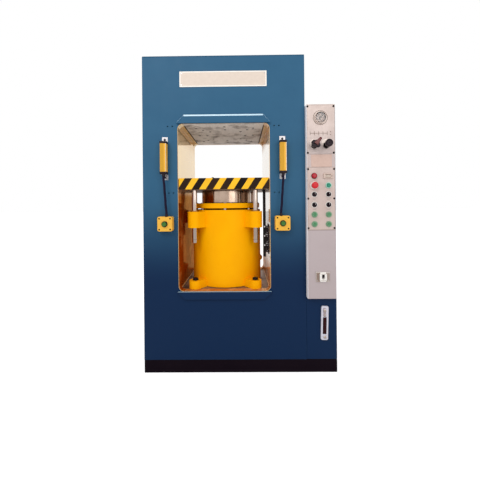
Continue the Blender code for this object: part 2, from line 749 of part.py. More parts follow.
def make_cylinder_casting():
    """Make the cylinder with its bore, guide lugs, feet and oil port as one casting."""
    profile = [
        (0.0, BARREL_BOTTOM),
        (BARREL_RADIUS - BARREL_EDGE, BARREL_BOTTOM),
        (BARREL_RADIUS, BARREL_BOTTOM + BARREL_EDGE),
        (BARREL_RADIUS, BARREL_TOP - BARREL_EDGE),
        (BARREL_RADIUS - BARREL_EDGE, BARREL_TOP),
        (BORE_RADIUS, BARREL_TOP),
        (BORE_RADIUS, BARREL_BOTTOM + BARREL_FLOOR),
        (0.0, BARREL_BOTTOM + BARREL_FLOOR),
    ]
    profile.reverse()
    casting = turned_piece("cylinder_casting", profile, "cast_yellow", LARGE_ROUND, (0, AXIS_Y, 0))

    lugs = bmesh.new()
    for across, back in rod_places(ROD_SPACING_X, ROD_SPACING_Y):
        add_pad(lugs, (across, back), LUG_RADIUS, LUG_TOP - LUG_HEIGHT, LUG_HEIGHT, MIDDLE_ROUND)
    boolean(casting, cutter_from("guide_lugs", lugs), "UNION")

    collars = bmesh.new()
    for across, back in rod_places(ROD_SPACING_X, ROD_SPACING_Y):
        start = (across, back, LUG_TOP - CUT_OVERRUN)
        add_rod(collars, start, UP, BUSH_COLLAR_RADIUS, BUSH_COLLAR_HEIGHT + CUT_OVERRUN, MIDDLE_ROUND)
    boolean(casting, cutter_from("bush_collars", collars), "UNION")

    feet = bmesh.new()
    for across, back in rod_places(FOOT_SPACING_X, FOOT_SPACING_Y):
        add_pad(feet, (across, back), FOOT_RADIUS, BARREL_BOTTOM, FOOT_HEIGHT, MIDDLE_ROUND)
    boolean(casting, cutter_from("base_feet", feet), "UNION")

    port = bmesh.new()
    start = (BARREL_RADIUS - CUT_OVERRUN, AXIS_Y, BARREL_TOP - PORT_DROP)
    add_rod(port, start, (1, 0, 0), PORT_RADIUS, PORT_LENGTH + CUT_OVERRUN, SMALL_ROUND)
    boolean(casting, cutter_from("oil_port", port), "UNION")

    holes = bmesh.new()
    for across, back in rod_places(ROD_SPACING_X, ROD_SPACING_Y):
        start = (across, back, LUG_TOP - LUG_HEIGHT - CUT_OVERRUN)
        length = LUG_HEIGHT + BUSH_COLLAR_HEIGHT + 2 * CUT_OVERRUN
        add_rod(holes, start, UP, ROD_RADIUS + RUNNING_GAP, length, MIDDLE_ROUND)
    for across, back in rod_places(FOOT_SPACING_X, FOOT_SPACING_Y):
        start = (across, back, BARREL_BOTTOM + FOOT_HEIGHT - FOOT_BOLT_SINK)
        add_rod(holes, start, UP, FOOT_BOLT_RADIUS, FOOT_BOLT_SINK + CUT_OVERRUN, SMALL_ROUND)
    boolean(casting, cutter_from("casting_holes", holes), "DIFFERENCE")


def make_gland():
    """Make the gland ring with its spigot, wiper lip and the studs that hold it off the barrel."""
    inner = RAM_RADIUS + RUNNING_GAP
    spigot = BORE_RADIUS - SEAT_GAP
    profile = [
        (inner, GLAND_TOP + GLAND_LIP_HEIGHT),
        (GLAND_LIP_RADIUS, GLAND_TOP + GLAND_LIP_HEIGHT),
        (GLAND_LIP_RADIUS, GLAND_TOP),
        (GLAND_RADIUS, GLAND_TOP),
        (GLAND_RADIUS, GLAND_BOTTOM),
        (spigot, GLAND_BOTTOM),
        (spigot, GLAND_BOTTOM - GLAND_SPIGOT),
        (inner, GLAND_BOTTOM - GLAND_SPIGOT),
    ]
    gland = turned_piece("gland_flange", profile, "cast_yellow", LARGE_ROUND, (0, AXIS_Y, 0))
    studs = bmesh.new()
    for index in range(GLAND_STUDS):
        angle = 2 * pi * index / GLAND_STUDS + pi / 2
        start = (
            GLAND_STUD_CIRCLE * cos(angle),
            AXIS_Y + GLAND_STUD_CIRCLE * sin(angle),
            BARREL_TOP + SEAT_GAP,
        )
        add_rod(studs, start, UP, GLAND_STUD_RADIUS, GLAND_STANDOFF + CUT_OVERRUN, TINY_ROUND)
    boolean(gland, cutter_from("gland_studs", studs), "UNION")


def make_ram():
    """Make the plunger with the piston collar that keeps it in the bore."""
    bottom = BARREL_BOTTOM + BARREL_FLOOR + RAM_FLOOR_CLEARANCE
    top = PLATEN_REST - SEAT_GAP
    collar = BORE_RADIUS - SEAT_GAP
    profile = [
        (0.0, top),
        (RAM_RADIUS - RAM_EDGE, top),
        (RAM_RADIUS, top - RAM_EDGE),
        (RAM_RADIUS, bottom + RAM_PISTON_HEIGHT),
        (collar, bottom + RAM_PISTON_HEIGHT),
        (collar, bottom),
        (0.0, bottom),
    ]
    turned_piece("ram", profile, "chrome", LARGE_ROUND, (0, AXIS_Y, 0))


def make_platen():
    """Make the moving table; its front edge carries the hazard stripes."""
    half = HALF_WINDOW - PLATEN_CLEARANCE
    box_piece(
        "platen", (-half, PLATEN_CLEARANCE, PLATEN_REST),
        (half, FRAME_DEPTH - PLATEN_CLEARANCE, PLATEN_TOP), "platen_yellow", PLATEN_BEVEL,
        (0, AXIS_Y, PLATEN_REST),
    )


def make_guide_rods():
    """Make the four rods that run in the lugs of the casting."""
    labels = ("front_left", "front_right", "rear_left", "rear_right")
    top = PLATEN_REST - SEAT_GAP
    profile = [
        (0.0, top), (ROD_RADIUS, top), (ROD_RADIUS, top - ROD_LENGTH + ROD_EDGE),
        (ROD_RADIUS - ROD_EDGE, top - ROD_LENGTH), (0.0, top - ROD_LENGTH),
    ]
    for label, (across, back) in zip(labels, rod_places(ROD_SPACING_X, ROD_SPACING_Y)):
        turned_piece(label + "_guide_rod", profile, "chrome", MIDDLE_ROUND, (across, back, 0))


def make_striker():
    """Make the bar below the platen that works the limit switches, with its foot and dog."""
    half = STRIKER_WIDTH / 2
    front = STRIKER_CENTRE_Y - STRIKER_THICKNESS / 2
    back = STRIKER_CENTRE_Y + STRIKER_THICKNESS / 2
    top = PLATEN_REST - SEAT_GAP
    form = bmesh.new()
    add_box(form, (STRIKER_CENTRE_X - half, front, top - STRIKER_LENGTH), (STRIKER_CENTRE_X + half, back, top))
    bar = finish_piece(as_object("striker_bar", form), "black_steel", PARTS)
    foot = bmesh.new()
    add_box(
        foot,
        (STRIKER_CENTRE_X - half, front, top - STRIKER_FOOT_THICKNESS),
        (STRIKER_CENTRE_X + half, front + STRIKER_FOOT_LENGTH, top),
    )
    boolean(bar, cutter_from("striker_foot", foot), "UNION")


def switch_levels():
    """Return the height of each limit switch's roller at rest."""
    return [SWITCH_TOP - index * SWITCH_PITCH for index in range(SWITCH_COUNT)]


def lever_pivot(level):
    """Return the pivot at the back of a switch lever from the height of its roller."""
    wall = HALF_WINDOW - SEAT_GAP
    body_middle = wall - SWITCH_RAIL - SWITCH_WIDTH / 2
    striker_front = STRIKER_CENTRE_Y - STRIKER_THICKNESS / 2
    back = striker_front - LEVER_CLEARANCE
    return Vector((body_middle, back, level - LEVER_REACH * cos(LEVER_LEAN)))


def make_limit_switches():
    """Make the switch bodies on their wall rail and the sprung roller levers."""
    wall = HALF_WINDOW - SEAT_GAP
    face = wall - SWITCH_RAIL
    levels = switch_levels()
    first = lever_pivot(levels[0])
    last = lever_pivot(levels[-1])
    rail = bmesh.new()
    body_front = first.y + LEVER_GAP
    body_back = body_front + SWITCH_DEPTH
    half = SWITCH_HEIGHT / 2
    add_box(
        rail,
        (face, body_front - SWITCH_RAIL_MARGIN / 2, last.z - half - SWITCH_RAIL_MARGIN),
        (wall, body_back + SWITCH_RAIL_MARGIN, first.z + half + SWITCH_RAIL_MARGIN),
    )
    switches = finish_piece(as_object("limit_switches", rail), "switch_black", PARTS)
    bodies = bmesh.new()
    for level in levels:
        pivot = lever_pivot(level)
        add_box(
            bodies,
            (face - SWITCH_WIDTH, body_front, pivot.z - half),
            (face + SWITCH_RAIL / 2, body_back, pivot.z + half),
        )
    boolean(switches, cutter_from("switch_bodies", bodies), "UNION")

    for label, level in zip(("upper", "middle", "lower"), levels):
        make_switch_lever(label + "_switch_lever", level)


def make_switch_lever(name, level):
    """Make one roller lever on the front of its switch, leaning over the striker bar."""
    pivot = lever_pivot(level)
    plate_back = pivot.y
    plate_front = plate_back - LEVER_THICKNESS
    form = bmesh.new()
    half = LEVER_WIDTH / 2
    add_box(form, (-half, 0, 0), (half, LEVER_THICKNESS, LEVER_REACH))
    bmesh.ops.rotate(form, verts=form.verts, cent=(0, 0, 0), matrix=Matrix.Rotation(-LEVER_LEAN, 3, "Y"))
    bmesh.ops.translate(form, verts=form.verts, vec=(pivot.x, plate_front, pivot.z))
    origin = (pivot.x, plate_back, pivot.z)
    lever = finish_piece(as_object(name, form, origin), "black_steel", PARTS)
    rounds = bmesh.new()
    start = (pivot.x, plate_back, pivot.z)
    add_rod(rounds, start, TO_OPERATOR, half + LEVER_THICKNESS / 4, LEVER_THICKNESS + SEAT_GAP, SMALL_ROUND)
    boolean(lever, cutter_from(name + "_hub", rounds), "UNION")
    roller = bmesh.new()
    tip = Vector((pivot.x - LEVER_REACH * sin(LEVER_LEAN), plate_front + LEVER_THICKNESS / 2, level))
    add_rod(roller, tip, TO_OPERATOR, ROLLER_RADIUS, ROLLER_WIDTH + LEVER_THICKNESS / 2, SMALL_ROUND)
    boolean(lever, cutter_from(name + "_roller", roller), "UNION")


def make_light_curtain(side, label):
    """Make one light curtain bar with its caps, end brackets and cable gland."""
    middle = side * CURTAIN_SPACING / 2
    half = CURTAIN_WIDTH / 2
    back = -CURTAIN_STANDOFF
    front = back - CURTAIN_DEPTH
    top = CURTAIN_BOTTOM + CURTAIN_LENGTH
    body = bmesh.new()
    add_box(
        body,
        (middle - half + CURTAIN_CAP_STEP, front + CURTAIN_CAP_STEP, CURTAIN_BOTTOM + CURTAIN_CAP),
        (middle + half - CURTAIN_CAP_STEP, back - CURTAIN_CAP_STEP, top - CURTAIN_CAP),
    )
    upright = [edge for edge in body.edges if abs(edge.verts[0].co.z - edge.verts[1].co.z) > CURTAIN_CAP]
    bevel_edges(body, upright, CURTAIN_EDGE)
    name = label + "_light_curtain"
    bar = finish_piece(as_object(name, body), "curtain_yellow", PARTS)
    caps = bmesh.new()
    add_box(caps, (middle - half, front, CURTAIN_BOTTOM), (middle + half, back, CURTAIN_BOTTOM + CURTAIN_CAP + CURTAIN_CAP_STEP))
    add_box(caps, (middle - half, front, top - CURTAIN_CAP - CURTAIN_CAP_STEP), (middle + half, back, top))
    boolean(bar, cutter_from(name + "_caps", caps), "UNION")

    plates = bmesh.new()
    arms = bmesh.new()
    narrow = BRACKET_WIDTH / 2
    for lean, edge in ((-1, CURTAIN_BOTTOM), (1, top)):
        ends = sorted((edge - lean * BRACKET_SHEET, edge + lean * BRACKET_LENGTH))
        add_box(plates, (middle - narrow, -BRACKET_SHEET - SEAT_GAP, ends[0]), (middle + narrow, -SEAT_GAP, ends[1]))
        ends = sorted((edge - lean * BRACKET_SHEET / 2, edge + lean * BRACKET_SHEET))
        add_box(arms, (middle - narrow, front + CURTAIN_DEPTH / 2, ends[0]), (middle + narrow, -BRACKET_SHEET / 2, ends[1]))
    boolean(bar, cutter_from(name + "_arms", arms), "UNION")
    boolean(bar, cutter_from(name + "_plates", plates), "UNION")
    screws = bmesh.new()
    for lean, edge in ((-1, CURTAIN_BOTTOM), (1, top)):
        start = (middle, -BRACKET_SHEET / 2, edge + lean * BRACKET_LENGTH / 2)
        add_rod(screws, start, TO_OPERATOR, BRACKET_SCREW_RADIUS, BRACKET_SCREW_HEIGHT, TINY_ROUND)
    gland_start = (middle, front + LEAD_GLAND_RADIUS, CURTAIN_BOTTOM + CUT_OVERRUN)
    add_rod(screws, gland_start, -UP, LEAD_GLAND_RADIUS, LEAD_GLAND_LENGTH + CUT_OVERRUN, TINY_ROUND)
    boolean(bar, cutter_from(name + "_fittings", screws), "UNION")


def make_hand_box(side, label):
    """Make one hand box with its lid line, bezel and top gland, and the green button in it."""
    middle = side * HAND_BOX_SPACING / 2
    half = HAND_BOX_SIZE / 2
    face = -HAND_BOX_DEPTH
    top = HAND_BOX_BOTTOM + HAND_BOX_SIZE
    centre_z = HAND_BOX_BOTTOM + half
    outline = rounded_outline(middle - half, HAND_BOX_BOTTOM, middle + half, top, HAND_BOX_CORNER, 3)
    inset = HAND_LID_GROOVE
    neck = rounded_outline(
        middle - half + inset, HAND_BOX_BOTTOM + inset, middle + half - inset, top - inset, HAND_BOX_CORNER, 3
    )
    name = label + "_hand_box"
    base_depth = HAND_BOX_DEPTH - HAND_LID_THICKNESS - HAND_LID_GROOVE
    base = flat_mesh(name, [outline], base_depth - SEAT_GAP)
    bmesh.ops.translate(base, verts=base.verts, vec=(0, -(base_depth + SEAT_GAP) / 2, 0))
    box = finish_piece(as_object(name, base), "box_yellow", PARTS)
    groove = flat_mesh(name + "_neck", [neck], HAND_LID_THICKNESS)
    bmesh.ops.translate(groove, verts=groove.verts, vec=(0, face + HAND_LID_THICKNESS, 0))
    boolean(box, cutter_from(name + "_neck", groove), "UNION")
    lid = flat_mesh(name + "_lid", [outline], HAND_LID_THICKNESS)
    bmesh.ops.translate(lid, verts=lid.verts, vec=(0, face + HAND_LID_THICKNESS / 2, 0))
    boolean(box, cutter_from(name + "_lid", lid), "UNION")
    fittings = bmesh.new()
    bezel_start = (middle, face + CUT_OVERRUN, centre_z)
    add_rod(fittings, bezel_start, TO_OPERATOR, HAND_BEZEL_RADIUS, HAND_BEZEL_HEIGHT + CUT_OVERRUN, MIDDLE_ROUND)
    gland_y = -CURTAIN_STANDOFF - CURTAIN_DEPTH + LEAD_GLAND_RADIUS
    gland_start = (middle - side * HAND_GLAND_INSET, gland_y, top - CUT_OVERRUN)
    add_rod(fittings, gland_start, UP, LEAD_GLAND_RADIUS, LEAD_GLAND_LENGTH + CUT_OVERRUN, TINY_ROUND)
    boolean(box, cutter_from(name + "_fittings", fittings), "UNION")
    well = bmesh.new()
    well_depth = HAND_BEZEL_HEIGHT + HAND_BUTTON_TRAVEL + BUTTON_FLOOR
    well_start = (middle, face - HAND_BEZEL_HEIGHT - CUT_OVERRUN, centre_z)
    add_rod(well, well_start, (0, 1, 0), HAND_BUTTON_RADIUS + BUTTON_GAP, well_depth + CUT_OVERRUN, MIDDLE_ROUND)
    boolean(box, cutter_from(name + "_well", well), "DIFFERENCE")

    bottom = -HAND_BEZEL_HEIGHT
    profile = push_button_profile(HAND_BUTTON_RADIUS, bottom, HAND_BUTTON_HEIGHT + bottom)
    origin = (middle, face - HAND_BEZEL_HEIGHT, centre_z)
    turned_piece(label + "_hand_button", profile, "button_green", MIDDLE_ROUND, origin, TO_OPERATOR)


def push_button_profile(radius, bottom, top):
    """Return the turned outline of a button with a softened edge."""
    return [
        (0.0, top), (radius - BUTTON_EDGE, top), (radius, top - BUTTON_EDGE),
        (radius, bottom), (0.0, bottom),
    ]


def make_lead(side, label):
    """Lead the cable from the light curtain's gland down into the hand box's gland."""
    start_x = side * CURTAIN_SPACING / 2
    end_x = side * (HAND_BOX_SPACING / 2 - HAND_GLAND_INSET)
    y = -CURTAIN_STANDOFF - CURTAIN_DEPTH + LEAD_GLAND_RADIUS
    top = CURTAIN_BOTTOM - LEAD_GLAND_LENGTH - SEAT_GAP
    bottom = HAND_BOX_BOTTOM + HAND_BOX_SIZE + LEAD_GLAND_LENGTH + SEAT_GAP
    points = []
    for index in range(LEAD_POINTS):
        along = index / (LEAD_POINTS - 1)
        ease = along * along * (3 - 2 * along)
        bow = LEAD_BOW * sin(2 * pi * along) ** 3
        points.append((start_x + (end_x - start_x) * ease - side * bow, y, top + (bottom - top) * along))
    tube_piece(label + "_curtain_lead", points, LEAD_RADIUS, "lead_black")


def make_cabinet():
    """Make the oil tank cabinet, the stainless console box and the panel with its bezels."""
    box_piece(
        "side_cabinet", (CABINET_LEFT, 0, PLINTH_HEIGHT + SEAT_GAP),
        (CABINET_LEFT + CABINET_WIDTH, FRAME_DEPTH, CABINET_TOP), "press_blue", CABINET_BEVEL,
    )
    form = bmesh.new()
    add_box(
        form, (CABINET_LEFT, CONSOLE_FACE, CONSOLE_BOTTOM),
        (CABINET_LEFT + CONSOLE_WIDTH, -SEAT_GAP, CONSOLE_TOP),
    )
    bevel_edges(form, form.edges, CONSOLE_BEVEL)
    console = finish_piece(as_object("console_box", form), "stainless", PARTS)
    pocket = bmesh.new()
    half_width = BREAKER_WIDTH / 2
    half_height = BREAKER_HEIGHT / 2
    pocket_back = CONSOLE_FACE + BREAKER_SLOT_DEPTH
    add_box(
        pocket,
        (BREAKER_CENTRE_X - half_width, CONSOLE_FACE - CUT_OVERRUN, BREAKER_CENTRE_Z - half_height),
        (BREAKER_CENTRE_X + half_width, pocket_back, BREAKER_CENTRE_Z + half_height),
    )
    for across in COLUMNS:
        for row in (STOP_ROW, *BUTTON_ROWS):
            start = (across, CONSOLE_FACE - CUT_OVERRUN, row)
            depth = CUT_OVERRUN + STOP_TRAVEL + BUTTON_FLOOR
            add_rod(pocket, start, (0, 1, 0), STOP_STEM_RADIUS + 2 * BUTTON_GAP, depth, SMALL_ROUND)
    boolean(console, cutter_from("console_pockets", pocket), "DIFFERENCE")

    left = CABINET_LEFT + CONSOLE_BEVEL + PANEL_MARGIN
    right = CABINET_LEFT + CONSOLE_WIDTH - CONSOLE_BEVEL - PANEL_MARGIN
    plate = bmesh.new()
    add_box(
        plate, (left, PANEL_FACE, PANEL_BOTTOM),
        (right, CONSOLE_FACE - SEAT_GAP, PANEL_BOTTOM + PANEL_HEIGHT),
    )
    panel = finish_piece(as_object("button_panel", plate), "stainless", PARTS)
    bezels = bmesh.new()
    wells = bmesh.new()
    for across in COLUMNS:
        for row in (STOP_ROW, *BUTTON_ROWS):
            face = PANEL_FACE + PANEL_THICKNESS / 2
            add_rod(bezels, (across, face, row), TO_OPERATOR, BEZEL_RADIUS, BEZEL_HEIGHT + PANEL_THICKNESS / 2, MIDDLE_ROUND)
            start = (across, PANEL_FACE - BEZEL_HEIGHT - CUT_OVERRUN, row)
            depth = BEZEL_HEIGHT + PANEL_THICKNESS + 2 * CUT_OVERRUN
            add_rod(wells, start, (0, 1, 0), STOP_STEM_RADIUS + BUTTON_GAP, depth, MIDDLE_ROUND)
    boolean(panel, cutter_from("panel_bezels", bezels), "UNION")
    boolean(panel, cutter_from("panel_wells", wells), "DIFFERENCE")


def make_console_buttons():
    """Make the green push buttons, the emergency stop and the selector switches."""
    bottom = -(PANEL_THICKNESS + SEAT_GAP)
    profile = push_button_profile(STOP_STEM_RADIUS, bottom, BUTTON_HEIGHT + bottom)
    turned_piece(
        "start_button", profile, "button_green", MIDDLE_ROUND, (COLUMNS[1], PANEL_FACE, STOP_ROW), TO_OPERATOR
    )
    for row_label, row in zip(("upper", "lower"), BUTTON_ROWS):
        for label, across in zip(("left", "right"), COLUMNS):
            turned_piece(
                row_label + "_" + label + "_button", profile, "button_green", MIDDLE_ROUND,
                (across, PANEL_FACE, row), TO_OPERATOR,
            )
    head = STOP_STEM_HEIGHT + STOP_HEAD_HEIGHT
    crown = STOP_HEAD_HEIGHT / 3
    profile = [
        (0.0, head), (STOP_HEAD_RADIUS - crown, head), (STOP_HEAD_RADIUS, head - crown),
        (STOP_HEAD_RADIUS, STOP_STEM_HEIGHT), (STOP_STEM_RADIUS, STOP_STEM_HEIGHT),
        (STOP_STEM_RADIUS, bottom), (0.0, bottom),
    ]
    turned_piece(
        "emergency_stop", profile, "button_red", MIDDLE_ROUND, (COLUMNS[0], PANEL_FACE, STOP_ROW), TO_OPERATOR
    )
    for row_label, row in zip(("upper", "lower"), SELECTOR_ROWS):
        for label, across in zip(("left", "right"), COLUMNS):
            make_selector(row_label + "_" + label + "_selector", across, row)


def make_selector(name, across, row):
    """Make one selector switch: a round base with a grip bar across it."""
    face = PANEL_FACE - SEAT_GAP
    form = bmesh.new()
    add_rod(form, (across, face, row), TO_OPERATOR, SELECTOR_RADIUS, SELECTOR_BASE, MIDDLE_ROUND)
    origin = (across, face, row)
    knob = finish_piece(as_object(name, form, origin), "switch_black", PARTS, smooth=True)
    grip = bmesh.new()
    half = SELECTOR_GRIP_WIDTH / 2
    reach = SELECTOR_RADIUS - BUTTON_EDGE / 3
    add_box(
        grip, (across - half, face - SELECTOR_BASE - SELECTOR_GRIP_HEIGHT, row - reach),
        (across + half, face - SELECTOR_BASE / 2, row + reach),
    )
    boolean(knob, cutter_from(name + "_grip", grip), "UNION")


def make_indicators():
    """Make the pilot lamp and the cycle counter."""
    face = PANEL_FACE - SEAT_GAP
    dome = PILOT_RADIUS / 3
    profile = [
        (0.0, PILOT_PROUD),
        (PILOT_RADIUS - dome, PILOT_PROUD - dome / 4),
        (PILOT_RADIUS, PILOT_PROUD - dome),
        (PILOT_RADIUS, PILOT_COLLAR_HEIGHT),
        (PILOT_COLLAR_RADIUS, PILOT_COLLAR_HEIGHT),
        (PILOT_COLLAR_RADIUS, 0.0),
        (0.0, 0.0),
    ]
    turned_piece("pilot_lamp", profile, "button_red", MIDDLE_ROUND, (COLUMNS[0], face, PILOT_ROW), TO_OPERATOR)
    half_width = COUNTER_WIDTH / 2
    half_height = COUNTER_HEIGHT / 2
    form = bmesh.new()
    add_box(
        form, (COUNTER_CENTRE_X - half_width, face - COUNTER_THICKNESS, COUNTER_CENTRE_Z - half_height),
        (COUNTER_CENTRE_X + half_width, face, COUNTER_CENTRE_Z + half_height),
    )
    counter = finish_piece(as_object("cycle_counter", form), "grey_plastic", PARTS)
    window = bmesh.new()
    half_width *= COUNTER_WINDOW_SHARE
    half_height *= COUNTER_WINDOW_SHARE
    add_box(
        window,
        (COUNTER_CENTRE_X - half_width, face - COUNTER_THICKNESS - CUT_OVERRUN, COUNTER_CENTRE_Z - half_height),
        (COUNTER_CENTRE_X + half_width, face - COUNTER_THICKNESS + COUNTER_WINDOW_DEPTH, COUNTER_CENTRE_Z + half_height),
    )
    boolean(counter, cutter_from("counter_window", window), "DIFFERENCE")


def make_gauge():
    """Make the pressure gauge: case with dial pocket and pin, needle and glass."""
    face = CONSOLE_FACE - SEAT_GAP
    origin = (GAUGE_CENTRE_X, face, GAUGE_CENTRE_Z)
    dial = GAUGE_RING_HEIGHT - GAUGE_DIAL_DEPTH
    pin_top = GAUGE_RING_HEIGHT - GAUGE_GLASS_SINK - GAUGE_GLASS - SEAT_GAP
    profile = [
        (0.0, pin_top), (GAUGE_PIN_RADIUS, pin_top), (GAUGE_PIN_RADIUS, dial),
        (GAUGE_DIAL_RADIUS, dial), (GAUGE_DIAL_RADIUS, GAUGE_RING_HEIGHT),
        (GAUGE_RING_RADIUS, GAUGE_RING_HEIGHT), (GAUGE_RING_RADIUS, GAUGE_FLANGE_HEIGHT),
        (GAUGE_FLANGE_RADIUS, GAUGE_FLANGE_HEIGHT), (GAUGE_FLANGE_RADIUS, 0.0), (0.0, 0.0),
    ]
    turned_piece("gauge_case", profile, "stainless", MIDDLE_ROUND, origin, TO_OPERATOR)

    glass_top = GAUGE_RING_HEIGHT - GAUGE_GLASS_SINK
    glass_radius = GAUGE_DIAL_RADIUS - SEAT_GAP
    profile = [
        (0.0, glass_top), (glass_radius, glass_top),
        (glass_radius, glass_top - GAUGE_GLASS), (0.0, glass_top - GAUGE_GLASS),
    ]
    turned_piece("gauge_glass", profile, "glass", MIDDLE_ROUND, origin, TO_OPERATOR)

    lift = dial + NEEDLE_LIFT
    hub_hole = GAUGE_PIN_RADIUS + NEEDLE_HUB_HOLE_GAP
    hub = [
        (hub_hole, lift + NEEDLE_THICKNESS), (NEEDLE_HUB_RADIUS, lift + NEEDLE_THICKNESS),
        (NEEDLE_HUB_RADIUS, dial + SEAT_GAP), (hub_hole, dial + SEAT_GAP),
    ]
    needle = turned_piece("gauge_needle", hub, "switch_black", SMALL_ROUND, origin, TO_OPERATOR)
    ring_edge = (hub_hole + NEEDLE_HUB_RADIUS) / 2
    blade = bmesh.new()
    half = NEEDLE_WIDTH / 2
    back = -lift
    front = -lift - NEEDLE_THICKNESS + SEAT_GAP / 2
    for low, high, sense in ((ring_edge, NEEDLE_LENGTH, 1), (ring_edge, NEEDLE_TAIL, -1)):
        ends = sorted((low * sense, high * sense))
        add_box(blade, (-half, front, ends[0]), (half, back, ends[1]))
    turn = Matrix.Rotation(-NEEDLE_REST, 4, "Y")
    bmesh.ops.transform(blade, verts=blade.verts, matrix=Matrix.Translation(origin) @ turn)
    boolean(needle, cutter_from("needle_blade", blade), "UNION")


def make_valve_body(name, across):
    """Make the lock nut and neck that a valve knob turns on."""
    face = CONSOLE_FACE - SEAT_GAP
    form = bmesh.new()
    add_rod(form, (across, face, VALVE_Z), TO_OPERATOR, VALVE_NUT_RADIUS, VALVE_NUT_HEIGHT, VALVE_NUT_SIDES)
    body = finish_piece(as_object(name, form), "machined_steel", PARTS)
    neck = bmesh.new()
    start = (across, face - VALVE_NUT_HEIGHT / 2, VALVE_Z)
    length = VALVE_NUT_HEIGHT / 2 + VALVE_NECK_HEIGHT
    add_rod(neck, start, TO_OPERATOR, VALVE_NECK_RADIUS, length, SMALL_ROUND)
    boolean(body, cutter_from(name + "_neck", neck), "UNION")


def make_valves():
    """Make the two valves: a round knob on the right, a star knob with a lever on the left."""
    make_valve_body("left_valve_body", LEFT_VALVE_X)
    make_valve_body("right_valve_body", RIGHT_VALVE_X)
    face = CONSOLE_FACE - SEAT_GAP - VALVE_NUT_HEIGHT - VALVE_NECK_HEIGHT - VALVE_KNOB_GAP
    profile = [
        (0.0, ROUND_KNOB_HEIGHT - ROUND_KNOB_DISH),
        (ROUND_KNOB_RADIUS - 2 * ROUND_KNOB_EDGE, ROUND_KNOB_HEIGHT - ROUND_KNOB_DISH / 2),
        (ROUND_KNOB_RADIUS - ROUND_KNOB_EDGE, ROUND_KNOB_HEIGHT),
        (ROUND_KNOB_RADIUS, ROUND_KNOB_HEIGHT - ROUND_KNOB_EDGE),
        (ROUND_KNOB_RADIUS, ROUND_KNOB_HEIGHT / 2),
        (ROUND_KNOB_RADIUS - 2 * ROUND_KNOB_EDGE, ROUND_KNOB_EDGE),
        (VALVE_NECK_RADIUS, 0.0),
        (0.0, 0.0),
    ]
    turned_piece(
        "right_valve_knob", profile, "switch_black", MIDDLE_ROUND, (RIGHT_VALVE_X, face, VALVE_Z), TO_OPERATOR
    )

    origin = (LEFT_VALVE_X, face, VALVE_Z)
    hub = bmesh.new()
    add_rod(hub, origin, TO_OPERATOR, STAR_KNOB_RADIUS, STAR_KNOB_HEIGHT, MIDDLE_ROUND)
    knob = finish_piece(as_object("left_valve_knob", hub, origin), "switch_black", PARTS, smooth=True)
    lobes = bmesh.new()
    for index in range(STAR_LOBES):
        angle = 2 * pi * index / STAR_LOBES
        start = (
            LEFT_VALVE_X + STAR_KNOB_RADIUS * sin(angle),
            face - STAR_KNOB_HEIGHT / 3,
            VALVE_Z - STAR_KNOB_RADIUS * cos(angle),
        )
        add_rod(lobes, start, TO_OPERATOR, STAR_LOBE_RADIUS, STAR_KNOB_HEIGHT / 2, SMALL_ROUND)
    boolean(knob, cutter_from("star_lobes", lobes), "UNION")
    handle = bmesh.new()
    lean = Vector((sin(LEVER_HANDLE_TURN), 0, cos(LEVER_HANDLE_TURN)))
    start = Vector((LEFT_VALVE_X, face - LEVER_HANDLE_BIG, VALVE_Z))
    add_rod(
        handle, start, lean, LEVER_HANDLE_BIG - SEAT_GAP, LEVER_HANDLE_LENGTH, SMALL_ROUND, LEVER_HANDLE_SMALL
    )
    boolean(knob, cutter_from("valve_lever", handle), "UNION")


